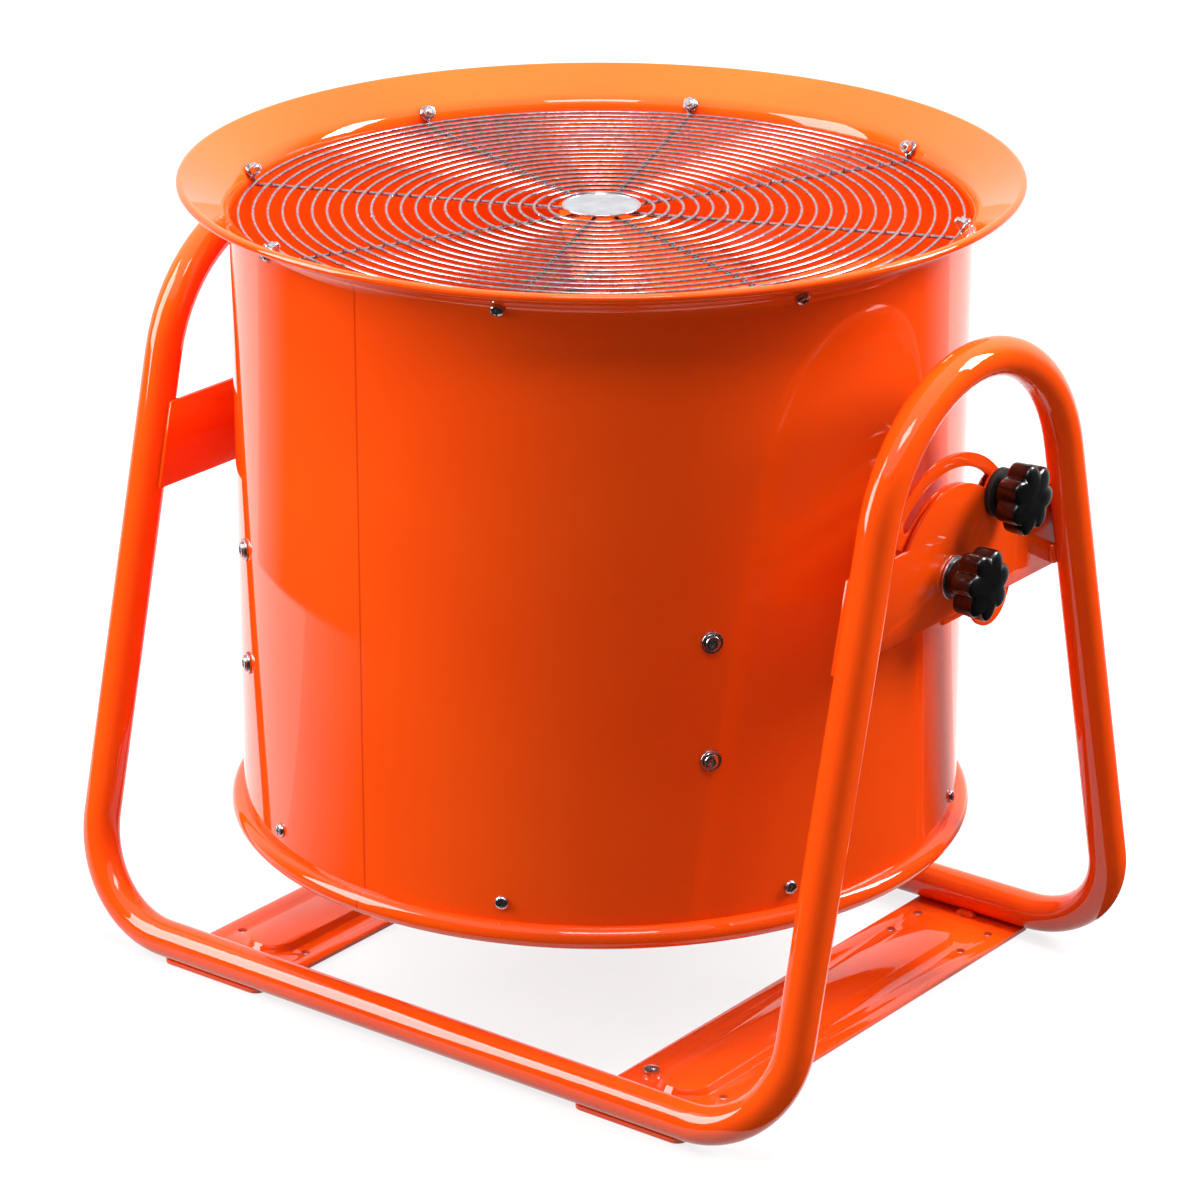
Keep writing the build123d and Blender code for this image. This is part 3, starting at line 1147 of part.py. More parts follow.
def drum_nodes():
    inlet_screw = on_the_bend(Pos(HEAD_STAND, 0, 0) * guard_screw(0))
    return {
        "drum_shell": [drum_shell()],
        "inlet_guard": guard(INLET_NECK_X, INLET_EYE_FOOT, -1, INLET_TILT),
        "outlet_guard": guard(OUTLET_NECK_X, OUTLET_EYE_FOOT, 1, 0),
        "guard_badge": [guard_badge()],
        "inlet_guard_screws": ring_of(SPOKE_COUNT, SPOKE_START, inlet_screw),
        "inlet_guard_nuts": ring_of(SPOKE_COUNT, SPOKE_START, on_the_bend(guard_nut(0))),
        "outlet_guard_screws": ring_of(SPOKE_COUNT, SPOKE_START, guard_screw(OUTLET_SCREW_Z)),
        "outlet_guard_nuts": ring_of(SPOKE_COUNT, SPOKE_START, guard_nut(OUTLET_SCREW_Z)),
    }


def arm_nodes():
    nodes = {"motor_arms": ring_of(ARM_COUNT, ARM_START, motor_arm())}
    makers = {
        "arm_cup_washers": cup_washer,
        "arm_bolts": arm_bolt,
        "arm_nuts": arm_nut,
        "motor_foot_bolts": foot_bolt,
    }
    for name, make in makers.items():
        nodes[name] = []
        for z in ARM_BOLT_Z:
            nodes[name] += ring_of(ARM_COUNT, ARM_START, make(z))
    return nodes


def motor_nodes():
    winding = winding_head()
    screws = bell_screw_ring(bell_screw())
    return {
        "motor_housing": [motor_housing()],
        "motor_end_bell_top": [at_motor_top(end_bell())],
        "motor_end_bell_bottom": [at_motor_bottom(end_bell())],
        "end_bell_screws": [turn(screw) for turn in (at_motor_top, at_motor_bottom) for screw in screws],
        "bearing_top": [at_motor_top(bearing())],
        "bearing_bottom": [at_motor_bottom(bearing())],
        "stator_core": [stator_core()],
        "stator_windings": [winding, Pos(0, 0, -STATOR_L - COIL_H) * winding],
        "terminal_box": [round_the_drum(BOX_ANGLE, terminal_box())],
        "terminal_box_lid": [round_the_drum(BOX_ANGLE, terminal_box_lid())],
    }


def impeller_nodes():
    rivets = []
    for radius in RIVET_RADII:
        rivets += ring_of(BLADE_COUNT, BLADE_START, blade_rivet(radius))
    return {
        "motor_shaft": [motor_shaft()],
        "rotor_core": [rotor_core()],
        "impeller_spider": [impeller_spider()],
        "impeller_blades": ring_of(BLADE_COUNT, BLADE_START, impeller_blade()),
        "blade_rivets": rivets,
        "hub_washer": [hub_washer()],
        "hub_nut": [hub_nut()],
    }


def electrics_nodes():
    makers = {
        "switch_box": switch_box,
        "switch_box_lid": switch_box_lid,
        "rocker_switch_body": rocker_switch_body,
        "rocker_button": rocker_button,
        "cable_gland": cable_gland,
        "motor_lead": motor_lead,
        "lead_grommet": lead_grommet,
    }
    nodes = {name: [round_the_drum(BOX_ANGLE, make())] for name, make in makers.items()}
    nodes["cover_screws"] = cover_screws()
    return nodes


def save(name, shapes):
    """Write one node, whose solids are kept apart."""
    solids = [solid for shape in shapes for solid in shape.solids()]
    part = solids[0] if len(solids) == 1 else Compound(children=solids)
    part.label = name
    export_step(part, os.path.join("parts", name + ".step"))


def main():
    os.makedirs("parts", exist_ok=True)
    groups = (stand_nodes, pivot_nodes, drum_nodes, arm_nodes, motor_nodes, impeller_nodes, electrics_nodes)
    for group in groups:
        for name, shapes in group().items():
            save(name, shapes)


main()
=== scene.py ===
# %% [markdown]
# # A drum fan on its tube stand
#
# The fan is a short orange drum with a bell mouth and a wire guard on top. It hangs between the two
# arches of a tube stand and tips about two black star knobs. This file dresses the fan's plain solids:
# it gives each finish its own material, and it builds the pieces whose surface a viewer looks at.
#
# Every length is in metres and every place is in the fan's own frame: the origin is on the floor below
# the drum, Z is up, the arches stand at -X and +X, and the front rail is at -Y.

import json
import math

import bmesh
import bpy
from mathutils import Matrix, Vector


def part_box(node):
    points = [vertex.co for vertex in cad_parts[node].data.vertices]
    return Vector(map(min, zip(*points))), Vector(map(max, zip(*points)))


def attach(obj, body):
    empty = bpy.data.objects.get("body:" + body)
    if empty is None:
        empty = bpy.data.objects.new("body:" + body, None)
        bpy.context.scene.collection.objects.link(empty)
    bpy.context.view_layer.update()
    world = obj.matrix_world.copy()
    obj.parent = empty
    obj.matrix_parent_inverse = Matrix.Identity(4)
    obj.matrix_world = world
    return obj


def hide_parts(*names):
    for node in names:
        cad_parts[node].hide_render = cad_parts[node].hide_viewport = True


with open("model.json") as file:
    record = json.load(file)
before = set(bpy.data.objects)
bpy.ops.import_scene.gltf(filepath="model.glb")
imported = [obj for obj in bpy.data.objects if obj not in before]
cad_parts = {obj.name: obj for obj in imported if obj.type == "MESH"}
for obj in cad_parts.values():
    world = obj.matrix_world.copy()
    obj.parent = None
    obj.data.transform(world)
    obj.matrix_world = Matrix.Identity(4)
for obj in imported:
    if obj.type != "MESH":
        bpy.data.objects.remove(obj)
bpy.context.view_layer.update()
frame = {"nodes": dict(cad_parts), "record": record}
nodes_of_body = frame["record"]["behaviour"]["bodies"]
body_of_node = {node: body for body, nodes in nodes_of_body.items() for node in nodes}

# %% [markdown]
# ## The camera
#
# The photo was taken from a little above the bell mouth, with a long lens. The camera stands on a
# sphere round the drum's axis: an azimuth, a height angle and a distance place it, and it looks at a
# point on the axis. A long lens from far off keeps the rim's ellipse as flat as it is in the photo.

# %% Camera
AZIMUTH = math.radians(37.4)
HEIGHT_ANGLE = math.radians(21.11)
ROLL = math.radians(0.12)
DISTANCE = 3.3165
LENS_MM = 140.46
OFF_AXIS = -0.0004
LOOK_AT = Vector((OFF_AXIS * math.cos(AZIMUTH), OFF_AXIS * math.sin(AZIMUTH), 0.2689))


def link(thing):
    """Put an object into the scene."""
    bpy.context.scene.collection.objects.link(thing)
    return thing


camera_data = bpy.data.cameras.new("photo_camera")
camera_data.lens = LENS_MM
camera_data.sensor_width = 36.0
camera_data.clip_start = 0.1
camera_data.clip_end = 50.0
camera = link(bpy.data.objects.new("photo_camera", camera_data))
towards_camera = Vector((
    math.sin(AZIMUTH) * math.cos(HEIGHT_ANGLE),
    -math.cos(AZIMUTH) * math.cos(HEIGHT_ANGLE),
    math.sin(HEIGHT_ANGLE)))
camera.location = LOOK_AT + DISTANCE * towards_camera
level = (-towards_camera).to_track_quat("-Z", "Y").to_matrix()
camera.rotation_euler = (level @ Matrix.Rotation(ROLL, 3, "Z")).to_euler()
bpy.context.scene.camera = camera
bpy.context.scene.view_settings.view_transform = "Standard"
print("camera at", [round(v, 3) for v in camera.location])

# %% [markdown]
# ## Wiring up nodes
#
# World, materials and Geometry Nodes are all node trees. One helper adds a node and feeds it: each input
# gets a plain value or a wire from another node, so every tree below reads from its start to its end.

# %% Helpers for nodes
def feed(tree, node, inputs):
    """Give a node's inputs, by name or number, plain values or other nodes' outputs."""
    for key, value in inputs.items():
        if isinstance(value, bpy.types.Node):
            value = value.outputs[0]
        if isinstance(value, bpy.types.NodeSocket):
            tree.links.new(value, node.inputs[key])
        else:
            node.inputs[key].default_value = value


def add_node(tree, kind, inputs, **settings):
    """A new node with its settings, its inputs fed."""
    node = tree.nodes.new(kind)
    for name, value in settings.items():
        setattr(node, name, value)
    feed(tree, node, inputs)
    return node


def maths(tree, operation, *values):
    """The result of a Math node."""
    return add_node(tree, "ShaderNodeMath", dict(enumerate(values)), operation=operation).outputs[0]


def new_material(name):
    """A material and its node tree."""
    material = bpy.data.materials.new(name)
    material.use_nodes = True
    return material, material.node_tree

# %% [markdown]
# ## The studio
#
# The photo has a white sweep, a big soft light overhead and a strong one on the far left, and the whole
# side behind the camera is dark. The dark side matters most: gloss paint shows it as deep, pure orange,
# and shows white only near the drum's edges, where it looks past the camera. So the world is white for
# the camera and for reflections and dim for light that falls on the fan, and dark cards that only
# reflections see stand behind the camera and lie on the floor in front of the fan.

# %% World and lamps
WHITE = (1.0, 1.0, 1.0, 1.0)
DIM_SKY = 0.25
MIDDLE = Vector((0.0, 0.0, 0.30))
CAMERA_TURN = math.atan2(towards_camera.y, towards_camera.x)


def white_rays(tree):
    """1 for the rays that must see plain white: the camera's, reflected and transmitted ones."""
    path = add_node(tree, "ShaderNodeLightPath", {}).outputs
    share = maths(tree, "MAXIMUM", path["Is Camera Ray"], path["Is Glossy Ray"])
    return maths(tree, "MAXIMUM", share, path["Is Transmission Ray"])


world = bpy.data.worlds.new("white_studio")
bpy.context.scene.world = world
world.use_nodes = True
sky = world.node_tree
sky_level = add_node(sky, "ShaderNodeMapRange", {"Value": white_rays(sky), "To Min": DIM_SKY, "To Max": 1.0})
feed(sky, sky.nodes["Background"], {"Color": WHITE, "Strength": sky_level})


def soft_lamp(name, side, height, distance, size, power):
    """A softbox that faces the fan from so many degrees to the camera's right, degrees up and metres."""
    turn = CAMERA_TURN + math.radians(side)
    up = math.radians(height)
    flat = distance * math.cos(up)
    place = MIDDLE + Vector((flat * math.cos(turn), flat * math.sin(turn), distance * math.sin(up)))
    data = bpy.data.lights.new(name, "AREA")
    data.shape = "RECTANGLE"
    data.size, data.size_y = size
    data.energy = power
    lamp = link(bpy.data.objects.new(name, data))
    lamp.location = place
    lamp.rotation_euler = (MIDDLE - place).to_track_quat("-Z", "Y").to_euler()
    return lamp


soft_lamp("key_softbox", -83, 27, 2.5, (1.2, 1.8), 78)
soft_lamp("top_softbox", 180, 82, 2.4, (1.6, 1.2), 150).visible_glossy = False
soft_lamp("front_softbox", 4, 58, 2.6, (1.0, 0.5), 20)
soft_lamp("right_softbox", 98, 34, 2.6, (0.6, 1.2), 80)

# %% Dark cards for reflections
CARD_LEVEL = 0.025
CARD_STEP = 3.0


def gloss_card(name, inner, outer, first, last, fade=9.0):
    """A dark card that only reflections see, between two (radius, height) edges and two directions.

    The directions are degrees to the camera's right. Towards its ends the card fades to white.
    """
    count = round((last - first + 2 * fade) / CARD_STEP) + 1
    sides = [first - fade + i * CARD_STEP for i in range(count)]
    verts = []
    for side in sides:
        turn = CAMERA_TURN + math.radians(side)
        verts += [(r * math.cos(turn), r * math.sin(turn), z) for r, z in (inner, outer)]
    mesh = bpy.data.meshes.new(name)
    mesh.from_pydata(verts, [], [[2 * i, 2 * i + 1, 2 * i + 3, 2 * i + 2] for i in range(count - 1)])
    level = mesh.attributes.new("level", "FLOAT", "POINT")
    for i, side in enumerate(sides):
        inside = min(side - first, last - side)
        share = min(1.0, max(CARD_LEVEL, 0.5 - inside / (2 * fade)))
        level.data[2 * i].value = level.data[2 * i + 1].value = share
    material, tree = new_material(name)
    tree.nodes.remove(tree.nodes["Principled BSDF"])
    read = add_node(tree, "ShaderNodeAttribute", {}, attribute_name="level")
    glow = add_node(tree, "ShaderNodeEmission", {"Strength": read.outputs["Fac"]})
    feed(tree, tree.nodes["Material Output"], {"Surface": glow})
    mesh.materials.append(material)
    card = link(bpy.data.objects.new(name, mesh))
    card.visible_camera = False
    card.visible_diffuse = False
    card.visible_transmission = False
    card.visible_shadow = False


gloss_card("dark_wall", (4.0, 0.0), (4.0, 3.4), -115, 118)
gloss_card("dark_floor_far", (1.0, 0.001), (4.0, 0.001), -115, 118)
gloss_card("dark_floor_near", (0.37, 0.001), (1.0, 0.001), -80, 118, fade=14.0)

# %% [markdown]
# ## Making a piece
#
# Each piece is a mesh whose place is in its points, so that it can stand where the solid stands. The
# helpers here turn a mesh into a piece: they give it a finish and the body that it moves with, and hide
# the solids that it stands for.

# %% Helpers for pieces
pieces_made = []


def place_piece(name, mesh, finish, node, instead=True):
    """Show a mesh on a CAD node's body and with its finish, instead of the node or beside it."""
    mesh.name = name
    mesh.materials.clear()
    mesh.materials.append(finish)
    piece = link(bpy.data.objects.new(name, mesh))
    if instead:
        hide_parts(node)
    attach(piece, body_of_node[node])
    pieces_made.append(name)
    print(name, sum(len(face.vertices) - 2 for face in mesh.polygons), "triangles")


def plain_mesh(thing):
    """The mesh that an object shows once its modifiers are worked out; the object goes."""
    bpy.context.view_layer.update()
    shown = thing.evaluated_get(bpy.context.evaluated_depsgraph_get())
    mesh = bpy.data.meshes.new_from_object(shown)
    bpy.data.objects.remove(thing)
    return mesh


def edited(mesh, change):
    """A mesh after a change to its points, edges and faces."""
    work = bmesh.new()
    work.from_mesh(mesh)
    change(work)
    work.to_mesh(mesh)
    work.free()
    return mesh


def faces_outward(work):
    """A change for edited(): every face looks out of its solid."""
    bmesh.ops.recalc_face_normals(work, faces=work.faces)


def smooth_by_angle(mesh, degrees=32.0):
    """Round surfaces look round and edges stay crisp."""
    for face in mesh.polygons:
        face.use_smooth = True
    limit = math.radians(degrees)

    def mark_edges(work):
        for edge in work.edges:
            edge.smooth = len(edge.link_faces) == 2 and edge.calc_face_angle(0.0) < limit

    return edited(mesh, mark_edges)


def joined(meshes):
    """Several meshes as one."""
    work = bmesh.new()
    for mesh in meshes:
        work.from_mesh(mesh)
    whole = bpy.data.meshes.new("joined")
    work.to_mesh(whole)
    work.free()
    return whole


def moved(mesh, matrix):
    """A copy of a mesh, moved or turned."""
    copy = mesh.copy()
    copy.transform(matrix)
    return copy


HALF_TURN = Matrix.Rotation(math.pi, 4, "Z")

# %% [markdown]
# ## Softened edges
#
# Real sheet, castings and mouldings have small rounded edges that catch the light. The CAD solids have
# sharp ones. A copy of a solid's mesh gets its doubled points merged and its flat faces cleaned, then a
# narrow Bevel modifier rounds the edges that are sharper than a given angle. This is quick, and the
# shape stays exactly the solid's.

# %% Softened copies of solids
SAME_POINT = 2e-6
FLAT_ANGLE = math.radians(0.6)
SHARP_ANGLE = math.radians(32.0)


def softened(node, width):
    """A copy of a node's mesh with its sharp edges rounded."""
    def clean(work):
        bmesh.ops.remove_doubles(work, verts=work.verts, dist=SAME_POINT)
        bmesh.ops.dissolve_limit(work, angle_limit=FLAT_ANGLE, verts=work.verts, edges=work.edges)

    mesh = edited(frame["nodes"][node].data.copy(), clean)
    mesh.materials.clear()
    thing = link(bpy.data.objects.new("soft_" + node, mesh))
    bevel = thing.modifiers.new("Soft edges", "BEVEL")
    bevel.width = width
    bevel.segments = 2
    bevel.limit_method = "ANGLE"
    bevel.angle_limit = SHARP_ANGLE
    bevel.use_clamp_overlap = True
    return smooth_by_angle(plain_mesh(thing), 40.0)


# %% [markdown]
# ## Turned shapes
#
# The drum, washers and screw heads are all turned: one outline goes round an axis. The outline is a
# list of (radius, height) points, listed so that the outside lies on its right when it runs upwards.

# %% Turning an outline
ON_AXIS = 1e-7
TO_PLUS_X = Matrix.Rotation(math.radians(90), 4, "Y")


def lathe(outline, steps, closed=True):
    """A mesh of an outline turned round Z; a closed outline makes a ring, an open one ends on the axis."""
    verts = []
    rings = []
    for radius, height in outline:
        if radius < ON_AXIS:
            rings.append([len(verts)])
            verts.append((0.0, 0.0, height))
            continue
        rings.append(list(range(len(verts), len(verts) + steps)))
        for i in range(steps):
            angle = 2 * math.pi * i / steps
            verts.append((radius * math.cos(angle), radius * math.sin(angle), height))
    faces = []
    pairs = list(zip(rings, rings[1:]))
    if closed:
        pairs.append((rings[-1], rings[0]))
    for lower, upper in pairs:
        for i in range(steps):
            j = (i + 1) % steps
            around = ((lower, i), (lower, j), (upper, j), (upper, i))
            corner = list(dict.fromkeys(ring[k % len(ring)] for ring, k in around))
            if len(corner) > 2:
                faces.append(corner)
    mesh = bpy.data.meshes.new("turned")
    mesh.from_pydata(verts, [], faces)
    return edited(mesh, faces_outward)


def arc_points(centre, radius, first, last, steps, squash=1.0):
    """Points on an arc in the outline's plane, angles in degrees."""
    points = []
    for i in range(steps + 1):
        angle = math.radians(first + (last - first) * i / steps)
        points.append((centre[0] + radius * math.cos(angle), centre[1] + squash * radius * math.sin(angle)))
    return points


def facing_out(mesh, radius, height):
    """Stand a shape that was turned round Z on the drum's wall at +X, its top facing outwards."""
    return moved(mesh, Matrix.Translation((radius, 0, height)) @ TO_PLUS_X)


# %% [markdown]
# ## Copies round the drum
#
# Screws, nuts, bolts, washers and spokes repeat round the drum's axis. A small Geometry Nodes tree takes
# one piece made on the +X side and puts turned copies of it round the axis. It could be a loop in
# Python, but in the tree the count and the first angle stay inputs that can be changed and seen.

# %% Geometry Nodes tree: copies round the axis
def new_tree(name, inputs):
    """A Geometry Nodes tree with named inputs; also what comes in, by name."""
    tree = bpy.data.node_groups.new(name, "GeometryNodeTree")
    tree.interface.new_socket("Geometry", in_out="OUTPUT", socket_type="NodeSocketGeometry")
    for socket, kind in {"Geometry": "Geometry", **inputs, "Finish": "Material"}.items():
        tree.interface.new_socket(socket, in_out="INPUT", socket_type="NodeSocket" + kind)
    return tree, tree.nodes.new("NodeGroupInput").outputs


def end_tree(tree, given, geometry):
    """The geometry gets its finish and becomes the tree's result."""
    painted = add_node(tree, "GeometryNodeSetMaterial", {"Geometry": geometry, "Material": given["Finish"]})
    add_node(tree, "NodeGroupOutput", {0: painted})
    print("tree", tree.name, "has", len(tree.nodes), "nodes")


def grown(thing, tree, values):
    """The mesh of an object with a tree as its modifier, given values by input name."""
    modifier = thing.modifiers.new(tree.name, "NODES")
    modifier.node_group = tree
    for item in tree.interface.items_tree:
        if item.in_out == "INPUT" and item.name in values:
            modifier[item.identifier] = values[item.name]
    return plain_mesh(thing)


tree, given = new_tree("Copies Round The Axis", {"Count": "Int", "First Angle": "Float"})
places = add_node(tree, "GeometryNodePoints", {"Count": given["Count"]})
index = add_node(tree, "GeometryNodeInputIndex", {})
step = maths(tree, "DIVIDE", 2 * math.pi, given["Count"])
about_z = add_node(tree, "ShaderNodeCombineXYZ", {
    "Z": maths(tree, "MULTIPLY_ADD", index, step, given["First Angle"])})
rotation = add_node(tree, "FunctionNodeEulerToRotation", {0: about_z})
copies = add_node(tree, "GeometryNodeInstanceOnPoints", {
    "Points": places, "Instance": given["Geometry"], "Rotation": rotation})
end_tree(tree, given, add_node(tree, "GeometryNodeRealizeInstances", {0: copies}))
copies_tree = tree


def copies_round(mesh, count, first_degrees, finish):
    """Turned copies of one mesh, as one plain mesh."""
    return grown(link(bpy.data.objects.new("copies", mesh)), copies_tree, {
        "Count": count, "First Angle": math.radians(first_degrees), "Finish": finish})


# %% [markdown]
# ## Wires and tubes
#
# A bent tube is a line of corners, a bend radius at each corner and a round section. The second tree
# does just that: it turns a mesh of points and edges into a curve, rounds each corner by the point's
# own "bend", and sweeps a circle along it. A point's "radius" can make the tube thinner there.

# %% Geometry Nodes tree: a round section along a path
tree, given = new_tree("Tube Along A Path", {
    "Section Radius": "Float", "Section Sides": "Int", "Bend Steps": "Int"})
line = add_node(tree, "GeometryNodeMeshToCurve", {"Mesh": given["Geometry"]})
bend = add_node(tree, "GeometryNodeInputNamedAttribute", {"Name": "bend"}, data_type="FLOAT")
rounded = add_node(tree, "GeometryNodeFilletCurve", {
    "Curve": line, "Radius": bend.outputs["Attribute"], "Count": given["Bend Steps"]}, mode="POLY")
section = add_node(tree, "GeometryNodeCurvePrimitiveCircle", {
    "Resolution": given["Section Sides"], "Radius": given["Section Radius"]})
swept = add_node(tree, "GeometryNodeCurveToMesh", {
    "Curve": rounded, "Profile Curve": section, "Fill Caps": True})
end_tree(tree, given, swept)
tube_tree = tree


def tube(corners, radius, finish, sides=16, bend_steps=6):
    """A tube through (x, y, z, bend radius, thickness) corners."""
    mesh = bpy.data.meshes.new("path")
    mesh.from_pydata([c[:3] for c in corners], [(i, i + 1) for i in range(len(corners) - 1)], [])
    bends = mesh.attributes.new("bend", "FLOAT", "POINT")
    sizes = mesh.attributes.new("radius", "FLOAT", "POINT")
    for i, corner in enumerate(corners):
        bends.data[i].value = corner[3]
        sizes.data[i].value = corner[4]
    made = grown(link(bpy.data.objects.new("path", mesh)), tube_tree, {
        "Section Radius": radius, "Section Sides": sides, "Bend Steps": bend_steps, "Finish": finish})
    return smooth_by_angle(edited(made, faces_outward), 50.0)


# %% [markdown]
# ## Building a finish
#
# Every finish is a small node tree on the Principled shader. What is the same all over is set on the
# shader itself. What changes over the surface comes from noise on Object coordinates, so that it stays
# with the piece: slow noise for colour, fast noise for the bumps and the gloss.

# %% Helpers for finishes
def srgb(red, green, blue):
    """A colour as a screen shows it, turned into the light that the shader works with."""
    parts = []
    for value in (red, green, blue):
        share = value / 255.0
        parts.append(share / 12.92 if share <= 0.04045 else ((share + 0.055) / 1.055) ** 2.4)
    return (*parts, 1.0)


class Finish:
    """A material under construction: its node tree and its Principled shader."""

    def __init__(self, name, metallic, roughness):
        self.material, self.tree = new_material(name)
        self.shader = self.tree.nodes["Principled BSDF"]
        self.set({"Metallic": metallic, "Roughness": roughness})
        self.where = self.add("ShaderNodeTexCoord", {}).outputs["Object"]
        self.normal = None

    def set(self, inputs):
        """Give the shader values or wires."""
        feed(self.tree, self.shader, inputs)

    def add(self, kind, inputs, **settings):
        """A new node in this material."""
        return add_node(self.tree, kind, inputs, **settings)

    def noise(self, scale, detail=3.0, stretch=(1.0, 1.0, 1.0)):
        """Noise over the piece, features about 1/scale metres apart."""
        mapping = self.add("ShaderNodeMapping", {"Vector": self.where, "Scale": stretch})
        texture = self.add("ShaderNodeTexNoise", {"Vector": mapping, "Scale": scale, "Detail": detail})
        return texture.outputs["Fac"]

    def spread(self, value, low, high, start=0.3, end=0.7):
        """The same value, spread between two others."""
        return self.add("ShaderNodeMapRange", {
            "Value": value, "From Min": start, "From Max": end, "To Min": low, "To Max": high}).outputs[0]

    def mixed(self, share, first, second):
        """A colour between two; each is a colour or another node's output."""
        return self.add("ShaderNodeMix", {"Factor": share, 6: first, 7: second}, data_type="RGBA").outputs[2]

    def bumps(self, height, strength, depth):
        """Add bumps of a real depth in metres to the surface."""
        inputs = {"Height": height, "Strength": strength, "Distance": depth}
        if self.normal is not None:
            inputs["Normal"] = self.normal
        self.normal = self.add("ShaderNodeBump", inputs).outputs[0]
        self.set({"Normal": self.normal})


# %% [markdown]
# ## Orange powder coat
#
# The drum and the stand are powder coated: a thick, glossy orange that flowed out when it was baked.
# It shows a fine ripple called orange peel, slow changes in its shade, and here and there a nib of dust
# under the film. The gloss is a clear coat over a softer layer. The drum's sheet also has an upright
# welded seam, which the paint follows as a fine groove with painted shade along it, so its finish takes
# an angle for the seam.

# %% Powder coat
ORANGE = srgb(248, 80, 14)
DEEP_ORANGE = srgb(243, 72, 10)
NIB_ORANGE = srgb(252, 112, 48)
SEAM_SHADE_RED = srgb(190, 36, 6)
SEAM_ANGLE = -91.3


def powder_coat(name, seam_angle=None):
    """The coat; with an angle also the drum's seam, a fine groove with painted shade along it, on that side of
    the axis.
    """
    finish = Finish(name, 0.0, 0.3)
    finish.set({"Specular IOR Level": 0.0, "Coat Weight": 1.0, "Coat Roughness": 0.045})
    shade = finish.mixed(finish.spread(finish.noise(5.0, 2.0), 0.0, 1.0), DEEP_ORANGE, ORANGE)
    cells = finish.add("ShaderNodeTexVoronoi", {"Vector": finish.where, "Scale": 16.0})
    nib = finish.spread(cells.outputs["Distance"], 1.0, 0.0, 0.005, 0.013)
    shade = finish.mixed(finish.spread(nib, 0.0, 0.4, 0.0, 1.0), shade, NIB_ORANGE)
    finish.bumps(finish.noise(240.0, 2.0), 0.02, 0.0002)
    finish.bumps(finish.noise(22.0, 1.0), 0.04, 0.0005)
    finish.bumps(nib, 0.3, 0.0002)
    if seam_angle is not None:
        turn = finish.add("ShaderNodeMapping", {
            "Vector": finish.where, "Rotation": (0.0, 0.0, -math.radians(seam_angle))})
        parts = finish.add("ShaderNodeSeparateXYZ", {0: turn}).outputs
        line = finish.spread(maths(finish.tree, "ABSOLUTE", parts["Y"]), 1.0, 0.0, 0.0003, 0.0011)
        front = finish.spread(parts["X"], 0.0, 1.0, 0.0, 0.01)
        seam = maths(finish.tree, "MULTIPLY", line, front)
        # Painted shade: the colour along the seam's groove is darkened towards a deep red.
        shade = finish.mixed(finish.spread(seam, 0.0, 0.55, 0.0, 1.0), shade, SEAM_SHADE_RED)
        finish.bumps(finish.spread(seam, 1.0, 0.0, 0.0, 1.0), 0.5, 0.0006)
    finish.set({"Base Color": shade, "Roughness": finish.spread(finish.noise(60.0, 2.0), 0.26, 0.36)})
    return finish.material


orange_paint = powder_coat("orange_powder_coat")
drum_paint = powder_coat("orange_powder_coat_drum", SEAM_ANGLE)
print("paints:", orange_paint.name, drum_paint.name)

# %% [markdown]
# ## Metals
#
# The guard is bright drawn wire, the fasteners are zinc plated, the shaft is turned steel and the
# blades are sheet. All are metallic shaders. What sets them apart is how rough they are, and which way
# their fine marks run: along a wire, round a shaft, in crystals on zinc.

# %% Metal finishes
def metal(name, bright, dull, smooth, rough, grain, stretch=(1.0, 1.0, 1.0), depth=0.00005):
    """A metal between two colours and two roughnesses, with grain of a size in 1/metres."""
    finish = Finish(name, 1.0, smooth)
    pattern = finish.noise(grain, 3.0, stretch)
    finish.set({
        "Base Color": finish.mixed(finish.spread(pattern, 0.0, 1.0), dull, bright),
        "Roughness": finish.spread(finish.noise(grain * 0.4, 2.0), smooth, rough)})
    finish.bumps(pattern, 0.25, depth)
    return finish.material


bright_wire = metal("bright_wire", srgb(190, 184, 187), srgb(146, 140, 144), 0.14, 0.28, 300.0)
washer_zinc = metal("washer_zinc", srgb(240, 240, 242), srgb(214, 214, 218), 0.30, 0.42, 420.0)
zinc_plate = metal("zinc_plate", srgb(222, 222, 224), srgb(176, 176, 180), 0.14, 0.30, 420.0)
turned_steel = metal("turned_steel", srgb(196, 197, 200), srgb(150, 151, 155), 0.20, 0.36, 90.0, (1, 1, 22))
core_steel = metal("core_steel", srgb(134, 135, 138), srgb(84, 85, 88), 0.38, 0.55, 40.0, (1, 1, 60))
copper_wire = metal("enamelled_copper", srgb(196, 110, 58), srgb(140, 66, 30), 0.25, 0.42, 160.0, (1, 1, 12))
black_iron = metal("black_iron", srgb(40, 38, 38), srgb(20, 19, 19), 0.35, 0.6, 180.0, depth=0.0002)
cast_paint = metal("painted_casting", srgb(74, 77, 80), srgb(48, 50, 52), 0.42, 0.58, 260.0, depth=0.00015)
print("metals ready")

# %% [markdown]
# ## Plastics, rubber and the badge
#
# The knobs are moulded in deep glossy black. The switch box has a fine spark texture, the rubber is dull
# and slightly dusty, and the nylon washers are off-white. The badge is a satin grey film: its face stays
# bare here. The blades have the same powder coat as the drum.

# %% Plastic finishes
GRAIN_DEPTH = 0.0001


def plastic(name, dark, light, smooth, rough, grain, strength, coat=0.0):
    """A plastic between two colours and two roughnesses, with a moulded grain."""
    finish = Finish(name, 0.0, smooth)
    shade = finish.mixed(finish.spread(finish.noise(grain * 0.08, 3.0), 0.0, 1.0), dark, light)
    finish.set({
        "Base Color": shade, "Roughness": finish.spread(finish.noise(grain * 0.15, 2.0), smooth, rough),
        "Coat Weight": coat, "Coat Roughness": 0.05})
    finish.bumps(finish.noise(grain, 2.0), strength, GRAIN_DEPTH)
    return finish.material


